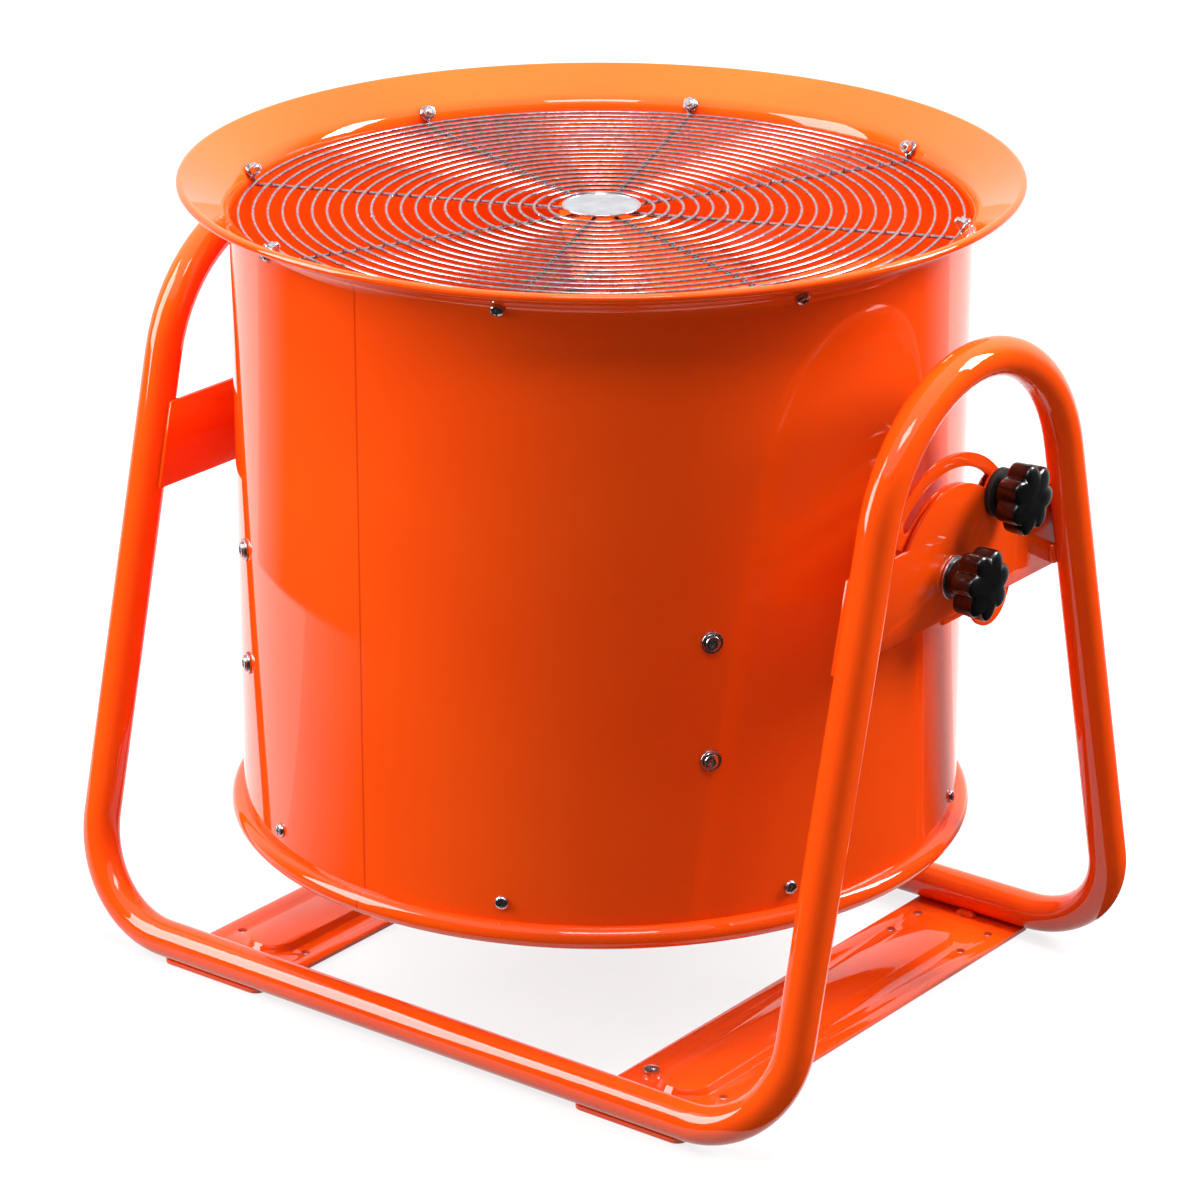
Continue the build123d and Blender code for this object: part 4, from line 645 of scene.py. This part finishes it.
knob_black = plastic("gloss_black", srgb(6, 5, 6), srgb(13, 11, 12), 0.2, 0.34, 500.0, 0.03, coat=0.35)
box_black = plastic("textured_black", srgb(24, 24, 25), srgb(36, 36, 38), 0.45, 0.6, 1500.0, 0.35)
rubber_black = plastic("black_rubber", srgb(22, 21, 21), srgb(40, 38, 37), 0.55, 0.8, 700.0, 0.4)
nylon_white = plastic("white_nylon", srgb(206, 204, 196), srgb(224, 222, 214), 0.4, 0.5, 400.0, 0.1)
badge_grey = plastic(
    "badge_grey", srgb(100, 101, 104), srgb(116, 117, 120), 0.42, 0.55, 900.0, 0.08, coat=0.15)
blade_paint = powder_coat("orange_powder_coat_blade")
print("plastics ready")

# %% [markdown]
# ## The drum
#
# The real drum is one rolled sheet: a half-round bead at the foot holds a hose, and at the top the sheet
# bends out into the bell mouth, a short cone, and curls into a thin lip. It is a turned shape, so its
# section is drawn once and turned in 256 steps. The section runs round both faces of the sheet, because
# the sheet's thickness shows where the lip curls.

# %% Drum
DRUM_R = 0.2550
SHEET = 0.0015
BORE_R = DRUM_R - SHEET
PIVOT_Z = 0.3550
BEAD_Z = 0.1260
BEAD_R = 0.0080
BEAD_CENTRE = (DRUM_R + 0.0010, BEAD_Z)
WALL_STOP = 0.0040
DRUM_STEPS = 256
RIM_Z = 0.5850
BELL_W = 0.0340
BELL_SLOPE = 31.0
BELL_BEND_R = 0.0150
LIP_R = 0.0030

slope = math.radians(BELL_SLOPE)
LIP_CENTRE = (BORE_R + BELL_W, RIM_Z - LIP_R)
cone_run = BELL_W - LIP_R * math.sin(slope) - BELL_BEND_R * (1 - math.sin(slope))
cone_top_z = LIP_CENTRE[1] + LIP_R * math.cos(slope)
BELL_Z = cone_top_z - cone_run * math.tan(slope) - BELL_BEND_R * math.cos(slope)
BEND_CENTRE = (BORE_R + BELL_BEND_R, BELL_Z)


def drum_section():
    """Both faces of the sheet: up the outside of the bead, up the bore, round the lip and down."""
    bead_in = BEAD_R - SHEET
    lip_in = LIP_R - SHEET
    outer_turn = math.degrees(math.acos((DRUM_R - BEAD_CENTRE[0]) / BEAD_R))
    inner_turn = math.degrees(math.acos((BORE_R - BEAD_CENTRE[0]) / bead_in))
    rise = 90 + BELL_SLOPE
    curl = BELL_SLOPE - 180
    section = arc_points(BEAD_CENTRE, BEAD_R, outer_turn, -outer_turn, 18)
    section += arc_points(BEAD_CENTRE, bead_in, -outer_turn, inner_turn, 18)
    section.append((BORE_R, BELL_Z - WALL_STOP))
    section += arc_points(BEND_CENTRE, BELL_BEND_R, 180, rise, 14)
    section += arc_points(LIP_CENTRE, LIP_R, rise, curl, 22) + arc_points(LIP_CENTRE, lip_in, curl, rise, 22)
    section += arc_points(BEND_CENTRE, BELL_BEND_R - SHEET, rise, 180, 14)
    section.append((DRUM_R, BELL_Z - WALL_STOP))
    return section


place_piece("drum_wall", smooth_by_angle(lathe(drum_section(), DRUM_STEPS), 40.0), drum_paint, "drum_shell")

# %% [markdown]
# ## The wire guards
#
# Each guard is 22 rings of thin wire on eight thicker spokes. At its end a spoke turns up along the wall
# and loops round its screw as a teardrop. The rings follow one rule, so a tree makes them: it puts a
# circle of each radius at one level, sweeps the wire round it, and drops a small butt weld on each ring
# at a place of its own, from a fixed seed.

# %% Geometry Nodes tree: the rings of a guard
RING_STEPS = 144
WIRE_SIDES = 8

tree, given = new_tree("Guard Rings", {
    "Rings": "Int", "Largest Radius": "Float", "Pitch": "Float", "Wire Radius": "Float", "Level": "Float",
    "Weld Radius": "Float", "Seed": "Int"})
index = add_node(tree, "GeometryNodeInputIndex", {})
inward = maths(tree, "MULTIPLY", index, given["Pitch"])
ring_radius = maths(tree, "SUBTRACT", given["Largest Radius"], inward)
at_level = add_node(tree, "ShaderNodeCombineXYZ", {"Z": given["Level"]})
ring_places = add_node(tree, "GeometryNodePoints", {"Count": given["Rings"], "Position": at_level})
circle = add_node(tree, "GeometryNodeCurvePrimitiveCircle", {"Resolution": RING_STEPS, "Radius": 1.0})
ring_copies = add_node(tree, "GeometryNodeInstanceOnPoints", {
    "Points": ring_places, "Instance": circle, "Scale": ring_radius})
ring_lines = add_node(tree, "GeometryNodeRealizeInstances", {0: ring_copies})
even = add_node(tree, "GeometryNodeSetCurveRadius", {"Curve": ring_lines, "Radius": 1.0})
wire_section = add_node(tree, "GeometryNodeCurvePrimitiveCircle", {
    "Resolution": WIRE_SIDES, "Radius": given["Wire Radius"]})
wires = add_node(tree, "GeometryNodeCurveToMesh", {"Curve": even, "Profile Curve": wire_section})
chance = add_node(tree, "FunctionNodeRandomValue", {"Seed": given["Seed"]}, data_type="FLOAT")
least, most = [socket for socket in chance.inputs if socket.enabled][:2]
least.default_value = 0.0
most.default_value = 2 * math.pi
angle = [socket for socket in chance.outputs if socket.enabled][0]
weld_place = add_node(tree, "ShaderNodeCombineXYZ", {
    "X": maths(tree, "MULTIPLY", ring_radius, maths(tree, "COSINE", angle)),
    "Y": maths(tree, "MULTIPLY", ring_radius, maths(tree, "SINE", angle)),
    "Z": given["Level"]})
weld_places = add_node(tree, "GeometryNodePoints", {"Count": given["Rings"], "Position": weld_place})
weld_shape = add_node(tree, "GeometryNodeMeshIcoSphere", {"Subdivisions": 2, "Radius": given["Weld Radius"]})
weld_copies = add_node(tree, "GeometryNodeInstanceOnPoints", {"Points": weld_places, "Instance": weld_shape})
both = add_node(tree, "GeometryNodeJoinGeometry", {0: wires})
feed(tree, both, {0: weld_copies})
end_tree(tree, given, add_node(tree, "GeometryNodeRealizeInstances", {0: both}))
rings_tree = tree

# %% Guards
RING_WIRE_R = 0.00125
SPOKE_WIRE_R = 0.0015
RINGS = 22
LARGEST_RING = 0.2488
SMALLEST_RING = 0.0362
RING_WELD_R = 0.0017
RING_LIFT = 0.0030
EYE_R = 0.0043
NECK_BEND = 0.0026
SPOKES = 8
FIRST_SPOKE = 22.5
DISC_R = 0.0220
DISC_T = 0.0020
DISC_EDGE = 0.0004
OUTLET_SCREW_Z = PIVOT_Z - 0.2080
INLET_TILT = math.radians(28.0)
BEND_OUT = BELL_BEND_R - SHEET
SEAT_X = DRUM_R + BEND_OUT * (1 - math.cos(INLET_TILT))
SEAT_Z = BELL_Z + BEND_OUT * math.sin(INLET_TILT)
EYE_IN = SHEET + 0.0003 + SPOKE_WIRE_R
# A guard: where its necks stand, the foot of its eyes, the way to the drum's middle, the eyes' tilt.
INLET = (SEAT_X - EYE_IN * math.cos(INLET_TILT) - EYE_R * math.sin(INLET_TILT),
         SEAT_Z + EYE_IN * math.sin(INLET_TILT) - EYE_R * math.cos(INLET_TILT), -1, INLET_TILT)
OUTLET = (DRUM_R - EYE_IN, OUTLET_SCREW_Z + EYE_R, 1, 0.0)


def guard_levels(eye_foot, inward):
    """Heights of the rings and of the spokes."""
    rings = eye_foot + inward * RING_LIFT
    return rings, rings + inward * (RING_WIRE_R + SPOKE_WIRE_R)


def spoke_wire(neck_x, eye_foot, inward, tilt):
    """One spoke on the +X side, with its bend and its teardrop eye."""
    spoke_z = guard_levels(eye_foot, inward)[1]
    corners = [(DISC_R / 2, 0, spoke_z, 0, 1), (neck_x, 0, spoke_z, NECK_BEND, 1)]
    eye = [(eye_foot + inward * 0.0004, 0.0003, 1)]
    for degrees in range(-66, 247, 12):
        along = math.radians(degrees)
        eye.append((eye_foot - inward * EYE_R * (1 + math.sin(along)), EYE_R * math.cos(along), 1))
    eye.append((eye_foot - inward * 0.0002, -0.0016, 0.8))
    for z, y, thickness in eye:
        drop = z - eye_foot
        corners.append((neck_x + drop * math.sin(tilt), y, eye_foot + drop * math.cos(tilt), 0, thickness))
    return tube(corners, SPOKE_WIRE_R, bright_wire, sides=10, bend_steps=5)


def guard_mesh(neck_x, eye_foot, inward, tilt, seed):
    """Rings with their welds, spokes and middle disc of one guard."""
    ring_z, spoke_z = guard_levels(eye_foot, inward)
    rings = grown(link(bpy.data.objects.new("rings", bpy.data.meshes.new("rings"))), rings_tree, {
        "Rings": RINGS, "Largest Radius": LARGEST_RING, "Pitch": (LARGEST_RING - SMALLEST_RING) / (RINGS - 1),
        "Wire Radius": RING_WIRE_R, "Level": ring_z, "Weld Radius": RING_WELD_R, "Seed": seed,
        "Finish": bright_wire})
    spokes = copies_round(spoke_wire(neck_x, eye_foot, inward, tilt), SPOKES, FIRST_SPOKE, bright_wire)
    outline = [(0, 0), (DISC_R - DISC_EDGE, 0), (DISC_R, DISC_EDGE), (DISC_R, DISC_T - DISC_EDGE),
               (DISC_R - DISC_EDGE, DISC_T), (0, DISC_T)]
    disc_z = spoke_z - inward * SPOKE_WIRE_R
    disc = lathe([(radius, disc_z - inward * z) for radius, z in outline], 64, closed=False)
    return joined([smooth_by_angle(rings, 80.0), spokes, smooth_by_angle(disc, 50.0)])


place_piece("guard_inlet_wires", guard_mesh(*INLET, 3), bright_wire, "inlet_guard")
place_piece("guard_outlet_wires", guard_mesh(*OUTLET, 8), bright_wire, "outlet_guard")

# %% [markdown]
# ## The badge
#
# A thin pressed disc sits on the middle of the guard. Its grey face is bare here, inside a narrow bright
# rim. Both are turned shapes; the rim is a part of its own because its finish differs.

# %% Badge
RIM_WIRE_R = 0.0008
RIM_INSET = 0.0014
badge_low, badge_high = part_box("guard_badge")
badge_r = badge_high.x
face_edge = badge_r - RIM_INSET
badge_face = [(0, badge_low.z), (face_edge, badge_low.z), (face_edge, badge_high.z - 0.0005)]
badge_face += [(face_edge * (1 - s), badge_high.z - 0.0005 + 0.0004 * s) for s in (0.1, 0.4, 0.7)]
badge_face.append((0, badge_high.z - 0.0001))
badge_face = smooth_by_angle(lathe(badge_face, 96, closed=False), 50)
place_piece("badge_face", badge_face, badge_grey, "guard_badge")
rim_middle = (badge_r - RIM_WIRE_R, (badge_low.z + badge_high.z) / 2)
badge_rim = smooth_by_angle(lathe(arc_points(rim_middle, RIM_WIRE_R, 0, 340, 17, 1.1), 96), 60)
place_piece("badge_rim", badge_rim, zinc_plate, "guard_badge", instead=False)

# %% [markdown]
# ## Screws, nuts and cup washers
#
# Sixteen pan-head screws hold the two guards and eight socket bolts with cup washers hold the motor's
# arms. Each kind is modelled once: the head is turned, its drive is cut with a Boolean, and the tree
# of copies sets it round the drum. Close up, the domed heads and dark recesses are what reads.

# %% Fasteners
def cut(mesh, tool):
    """One mesh less another."""
    thing = link(bpy.data.objects.new("cut", mesh))
    knife = link(bpy.data.objects.new("knife", tool))
    boolean = thing.modifiers.new("Cut", "BOOLEAN")
    boolean.operation = "DIFFERENCE"
    boolean.solver = "EXACT"
    boolean.object = knife
    made = plain_mesh(thing)
    bpy.data.objects.remove(knife)
    return made


def prism(points, low, high):
    """An upright prism on a polygon."""
    mesh = bpy.data.meshes.new("prism")
    count = len(points)
    verts = [(x, y, low) for x, y in points] + [(x, y, high) for x, y in points]
    faces = [list(range(count))[::-1], list(range(count, 2 * count))]
    faces += [[i, (i + 1) % count, (i + 1) % count + count, i + count] for i in range(count)]
    mesh.from_pydata(verts, [], faces)
    return mesh


def regular(sides, flats):
    """Corners of a regular polygon, by its width across flats."""
    radius = flats / 2 / math.cos(math.pi / sides)
    return [(radius * math.cos(2 * math.pi * i / sides), radius * math.sin(2 * math.pi * i / sides))
            for i in range(sides)]


def cross(length, width):
    """Outline of a cross recess."""
    a = length / 2
    b = width / 2
    return [(a, -b), (a, b), (b, b), (b, a), (-b, a), (-b, b),
            (-a, b), (-a, -b), (-b, -b), (-b, -a), (b, -a), (b, -b)]


def pan_head(radius, height, foot):
    """Turned pan head, its seat at z = 0, with a shank down to the foot."""
    outline = [(0, foot), (0.0021, foot), (0.0025, foot + 0.0005), (0.0025, 0), (radius * 0.96, 0)]
    outline += [(radius, height * 0.14), (radius * 0.985, height * 0.4), (radius * 0.9, height * 0.66)]
    outline += [(radius * 0.72, height * 0.86), (radius * 0.4, height * 0.97), (0, height)]
    return lathe(outline, 40, closed=False)


GUARD_HEAD_R = 0.0050
GUARD_SCREW_FOOT = -0.0123
drive = prism(cross(0.0056, 0.0013), 0.0012, 0.0050)
screw = smooth_by_angle(cut(pan_head(GUARD_HEAD_R, 0.0030, GUARD_SCREW_FOOT), drive), 30.0)
HEAD_STAND = BEND_OUT - math.sqrt(BEND_OUT ** 2 - GUARD_HEAD_R ** 2)


def on_the_bend(mesh, depth):
    """Stand a shape on the bell mouth's bend at an inlet screw's place, so far out from the sheet."""
    tilted = Matrix.Translation((SEAT_X, 0, SEAT_Z)) @ Matrix.Rotation(INLET_TILT, 4, "Y")
    return moved(mesh, tilted @ Matrix.Translation((depth, 0, 0)) @ TO_PLUS_X)


def guard_fasteners(name, node, mesh):
    """Eight copies of a fastener, at the ends of a guard's spokes."""
    place_piece(name, copies_round(mesh, SPOKES, FIRST_SPOKE, zinc_plate), zinc_plate, node)


guard_fasteners("screws_inlet", "inlet_guard_screws", on_the_bend(screw, HEAD_STAND))
guard_fasteners("screws_outlet", "outlet_guard_screws", facing_out(screw, DRUM_R, OUTLET_SCREW_Z))


def hex_nut(flats, height, bore):
    """Nut standing on z = 0 with chamfered corners and a bore."""
    corner = flats / 2 / math.cos(math.pi / 6)
    nut = prism(regular(6, flats), 0, height)
    for end, out in ((height, 1), (0, -1)):
        outline = [(corner - flats * 0.06, end + out * 0.0001), (corner + 0.002, end + out * 0.0001),
                   (corner + 0.002, end - out * flats * 0.09)]
        nut = cut(nut, lathe(outline, 36))
    return smooth_by_angle(cut(nut, prism(regular(24, bore * 2), -0.001, height + 0.001)), 30.0)


NUT_H = 0.0040
nut = hex_nut(0.0080, NUT_H, 0.00255)
nut_back = EYE_IN + SPOKE_WIRE_R + NUT_H
guard_fasteners("nuts_inlet", "inlet_guard_nuts", on_the_bend(nut, -nut_back))
guard_fasteners("nuts_outlet", "outlet_guard_nuts", facing_out(nut, DRUM_R - nut_back, OUTLET_SCREW_Z))

# %% Motor arm bolts
ARM_BOLT_Z = (PIVOT_Z - 0.1053, PIVOT_Z - 0.0212)
FIRST_ARM = -36.0
ARMS = 4
CUP_SEAT = 0.0008
cup = [(0.0033, 0.0), (0.0074, 0.0), (0.0078, 0.0005), (0.0078, 0.0014), (0.0074, 0.0021), (0.0067, 0.0022),
       (0.0059, 0.0019), (0.0056, 0.0013), (0.0056, CUP_SEAT), (0.0033, CUP_SEAT)]
cup_washer = smooth_by_angle(lathe(cup, 48), 40.0)
head = [(0, -0.0135), (0.0026, -0.0135), (0.0030, -0.0130), (0.0030, 0), (0.0051, 0), (0.00525, 0.0004),
        (0.00525, 0.0026), (0.0049, 0.0032), (0.0042, 0.0034), (0, 0.0034)]
socket_bolt = cut(lathe(head, 40, closed=False), prism(regular(6, 0.0050), 0.0010, 0.0050))
socket_bolt = smooth_by_angle(socket_bolt, 30.0)
for name, mesh, radius, node in (("cup_washers", cup_washer, DRUM_R, "arm_cup_washers"),
                                 ("socket_bolts", socket_bolt, DRUM_R + CUP_SEAT, "arm_bolts")):
    pair = joined([facing_out(mesh, radius, z) for z in ARM_BOLT_Z])
    place_piece(name, copies_round(pair, ARMS, FIRST_ARM, zinc_plate), zinc_plate, node)

# %% [markdown]
# ## The stand's tubes
#
# Each half of the stand is one bent tube: half a front rail, a leaning leg, the arch, the other leg and
# half a back rail. The halves meet in the middle of the rails over an inner sleeve, and the paint draws
# in at the joint, so the tube's last half millimetre is a little thinner.

# %% Tubes
TUBE_R = 0.01345
ARCH_X = 0.3090
RAIL_Y = 0.2108
RAIL_Z = 0.0030 + TUBE_R
LEG_SLOPE = math.tan(math.radians(13.75))
APEX_Z = RAIL_Z + RAIL_Y / LEG_SLOPE
FOOT_BEND = 0.076
ARCH_BEND = 0.115
JOINT_END = 0.0006
JOINT_DRAW = 0.955

front_half = [(0.0, -RAIL_Y, RAIL_Z, 0, JOINT_DRAW), (JOINT_END, -RAIL_Y, RAIL_Z, 0, 1),
              (ARCH_X, -RAIL_Y, RAIL_Z, FOOT_BEND, 1)]
back_half = [(x, -y, z, bend, thickness) for x, y, z, bend, thickness in reversed(front_half)]
path = front_half + [(ARCH_X, 0.0, APEX_Z, ARCH_BEND, 1)] + back_half
half_stand = tube(path, TUBE_R, orange_paint, sides=40, bend_steps=26)
place_piece("stand_tube_right", half_stand, orange_paint, "frame_tube_right")
place_piece("stand_tube_left", moved(half_stand, HALF_TURN), orange_paint, "frame_tube_left")

# %% [markdown]
# ## Plates, straps and brackets
#
# These are flat or pressed sheet, so a softened copy of the solid is the right shape already: what it
# needs is an edge rounded by half a millimetre, which gives the thin bright line along every edge. The
# weld beads are rounded in the same way.

# %% Sheet parts
for part, width in (("cross_plate", 0.0006), ("pivot_strap", 0.0006), ("pivot_bracket", 0.0005)):
    for node in (part + "_right", part + "_left"):
        place_piece(node + "_sheet", softened(node, width), orange_paint, node)
place_piece("motor_arms_sheet", softened("motor_arms", 0.0004), orange_paint, "motor_arms")
for node in ("rail_weld_beads", "strap_weld_beads"):
    place_piece(node + "_soft", softened(node, 0.0005), orange_paint, node)

# %% [markdown]
# ## Star knobs
#
# A star knob is a moulded disc with seven round lobes, a slightly domed face and a hub towards the
# strap. Its outline is one formula: a radius that swells seven times round the circle. The knob is a
# stack of such outlines, from the middle of the face over the rounded rim and down the hub, where the
# lobes fade out. A Subdivision Surface makes it smooth.

# %% Knobs
KNOB_R = 0.0250
KNOB_VALLEY_R = 0.0196
KNOB_MEAN_R = (KNOB_R + KNOB_VALLEY_R) / 2
KNOB_HEAD = 0.0190
KNOB_FACE_X = 0.3270
KNOB_STEPS = 98
LOBES = 7
HUB_SHARE = 0.0135 / KNOB_MEAN_R


def knob_outline(scale, lobing):
    """Points of one outline: lobing 1 is the full star, 0 a circle."""
    points = []
    for i in range(KNOB_STEPS):
        angle = 2 * math.pi * i / KNOB_STEPS
        swell = (0.5 + 0.5 * math.cos(LOBES * angle)) ** 0.5
        star = KNOB_VALLEY_R + (KNOB_R - KNOB_VALLEY_R) * swell
        radius = scale * (KNOB_MEAN_R + lobing * (star - KNOB_MEAN_R))
        points.append((radius * math.cos(angle), radius * math.sin(angle)))
    return points


def star_knob(hub_x):
    """A knob about the X axis, its face at KNOB_FACE_X and its hub's end at hub_x."""
    depth = KNOB_FACE_X - hub_x
    # Each outline: how far behind the face, its size, and how much of a star it is.
    stack = [(0.0000, 0.16, 0.0), (0.0002, 0.42, 0.15), (0.0007, 0.68, 0.55), (0.0013, 0.84, 0.9),
             (0.0021, 0.93, 1.0), (0.0030, 0.975, 1.0), (0.0042, 1.0, 1.0), (0.0100, 0.995, 1.0),
             (KNOB_HEAD - 0.0022, 0.985, 1.0), (KNOB_HEAD - 0.0008, 0.955, 1.0),
             (KNOB_HEAD - 0.0002, 0.9, 0.9), (KNOB_HEAD, 0.80, 0.5),
             (KNOB_HEAD + 0.0001, HUB_SHARE * 1.06, 0.0), (KNOB_HEAD + 0.0008, HUB_SHARE, 0.0)]
    if depth > KNOB_HEAD + 0.002:
        stack.append((depth - 0.0010, HUB_SHARE * 0.99, 0.0))
    stack += [(depth - 0.0003, HUB_SHARE * 0.97, 0.0), (depth, HUB_SHARE * 0.92, 0.0),
              (depth, HUB_SHARE * 0.45, 0.0)]
    verts = []
    faces = []
    for drop, scale, lobing in stack:
        verts += [(KNOB_FACE_X - drop, y, z) for y, z in knob_outline(scale, lobing)]
    last = (len(stack) - 1) * KNOB_STEPS
    for start in range(0, last, KNOB_STEPS):
        for i in range(KNOB_STEPS):
            j = (i + 1) % KNOB_STEPS
            faces.append([start + i, start + j, start + KNOB_STEPS + j, start + KNOB_STEPS + i])
    faces.append(list(range(KNOB_STEPS))[::-1])
    faces.append([last + i for i in range(KNOB_STEPS)])
    mesh = bpy.data.meshes.new("knob")
    mesh.from_pydata(verts, [], faces)
    thing = link(bpy.data.objects.new("knob", edited(mesh, faces_outward)))
    smooth = thing.modifiers.new("Smooth", "SUBSURF")
    smooth.levels = smooth.render_levels = 1
    return smooth_by_angle(plain_mesh(thing), 60.0)


def knob_at(node, y, z, turn):
    """A knob for a node at a place on the right strap, turned by an angle."""
    return moved(star_knob(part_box(node)[0].x), Matrix.Translation((0, y, z)) @ Matrix.Rotation(turn, 4, "X"))


LOCK_REACH = 0.0690
LOCK_ANGLE = math.radians(42)
LOCK_Y = LOCK_REACH * math.cos(LOCK_ANGLE)
LOCK_Z = PIVOT_Z + LOCK_REACH * math.sin(LOCK_ANGLE)
pivot_knob = knob_at("pivot_knob_right", 0, PIVOT_Z, 0.2)
place_piece("star_knob_right", pivot_knob, knob_black, "pivot_knob_right")
place_piece("star_knob_left", moved(pivot_knob, HALF_TURN), knob_black, "pivot_knob_left")
place_piece("star_knob_lock", knob_at("lock_knob", LOCK_Y, LOCK_Z, -0.12), knob_black, "lock_knob")

# %% [markdown]
# ## Washers round the knobs
#
# The pivot knobs press on thin bright washers and the lock knob on a thick rubber one. They are turned
# shapes with rounded rims, laid on their sides.

# %% Knob washers
STUD_HOLE_R = 0.0053
THIN_WASHER = 0.0016


def washer_on_x(outer, x0, x1, y, z, edge):
    """A washer about an axis along X, with rounded outer edges."""
    thick = x1 - x0
    outline = [(STUD_HOLE_R, 0), (outer - edge, 0), (outer - edge * 0.3, edge * 0.3), (outer, edge),
               (outer, thick - edge), (outer - edge * 0.3, thick - edge * 0.3), (outer - edge, thick),
               (STUD_HOLE_R, thick)]
    return moved(smooth_by_angle(lathe(outline, 72), 40), Matrix.Translation((x0, y, z)) @ TO_PLUS_X)


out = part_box("knob_washers")[1].x
right_washer = washer_on_x(0.0150, out - THIN_WASHER, out, 0, PIVOT_Z, 0.0004)
both_washers = joined([right_washer, moved(right_washer, HALF_TURN)])
place_piece("washers_of_knobs", both_washers, washer_zinc, "knob_washers")
low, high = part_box("lock_rubber_washer")
lock_washer = washer_on_x(0.0170, low.x, high.x, LOCK_Y, LOCK_Z, 0.0010)
place_piece("washer_of_lock", lock_washer, rubber_black, "lock_rubber_washer")

# %% [markdown]
# ## Everything else
#
# The parts behind the guards and on the hidden side keep the shape of their solids. Most get softened
# edges and all get a finish. Parts that are wholly inside others keep their solids and only change
# their material.

# %% Softened parts with their finish
soft_parts = {
    "plate_screw": (0.0003, zinc_plate), "lock_bolt": (0.0004, zinc_plate),
    "arm_nuts": (0.0003, zinc_plate), "motor_foot_bolts": (0.0003, zinc_plate),
    "motor_housing": (0.0005, cast_paint), "motor_end_bell_top": (0.0006, cast_paint),
    "motor_end_bell_bottom": (0.0006, cast_paint), "end_bell_screws": (0.0003, zinc_plate),
    "terminal_box": (0.0005, box_black), "terminal_box_lid": (0.0006, box_black),
    "impeller_spider": (0.0008, black_iron), "impeller_blades": (0.0007, blade_paint),
    "blade_rivets": (0.0006, turned_steel), "hub_washer": (0.0004, black_iron),
    "hub_nut": (0.0007, zinc_plate), "switch_box": (0.0008, box_black), "switch_box_lid": (0.0008, box_black),
    "rocker_switch_body": (0.0003, knob_black), "rocker_button": (0.0004, knob_black),
    "cable_gland": (0.0005, box_black), "lead_grommet": (0.0005, rubber_black),
    "cover_screws": (0.0003, zinc_plate), "motor_shaft": (0.0005, turned_steel),
}
for node, (width, finish) in soft_parts.items():
    place_piece(node + "_soft", softened(node, width), finish, node)

# %% Solids that keep their mesh
kept_parts = {
    "rail_sleeves": zinc_plate, "pivot_weld_nuts": zinc_plate, "friction_washers": nylon_white,
    "pivot_stud_right": zinc_plate, "pivot_stud_left": zinc_plate, "bearing_top": turned_steel,
    "bearing_bottom": turned_steel, "stator_core": core_steel, "stator_windings": copper_wire,
    "rotor_core": core_steel, "motor_lead": rubber_black,
}
for node, finish in kept_parts.items():
    mesh = frame["nodes"][node].data
    if not mesh.materials:
        mesh.materials.append(finish)
    for i in range(len(mesh.materials)):
        mesh.materials[i] = finish
print("kept", len(kept_parts), "solids; made", len(pieces_made), "pieces")

# %% [markdown]
# ## Floor
#
# A wide pale floor carries the fan's shadow. To the camera it is as white as the sky behind it, so the
# sheet has no horizon. A glow does that, for the same rays that see the sky white, over a plain grey
# that keeps light from bouncing up into the drum.

# %% Floor
FLOOR_GREY = (0.18, 0.18, 0.18, 1.0)
floor_mesh = bpy.data.meshes.new("floor")
floor_mesh.from_pydata([(-9, -9, 0), (9, -9, 0), (9, 9, 0), (-9, 9, 0)], [], [[0, 1, 2, 3]])
floor = link(bpy.data.objects.new("floor", floor_mesh))
floor.location.z = -0.0005
floor_material, tree = new_material("white_floor")
here = add_node(tree, "ShaderNodeTexCoord", {}).outputs["Object"]
far_off = add_node(tree, "ShaderNodeVectorMath", {0: here}, operation="LENGTH").outputs["Value"]
fade = add_node(tree, "ShaderNodeMapRange", {
    "Value": far_off, "From Min": 0.7, "From Max": 2.0, "To Min": 0.78, "To Max": 1.0}).outputs[0]
feed(tree, tree.nodes["Principled BSDF"], {
    "Base Color": FLOOR_GREY, "Roughness": 0.9, "Emission Color": WHITE,
    "Emission Strength": maths(tree, "MULTIPLY", white_rays(tree), fade)})
floor_mesh.materials.append(floor_material)
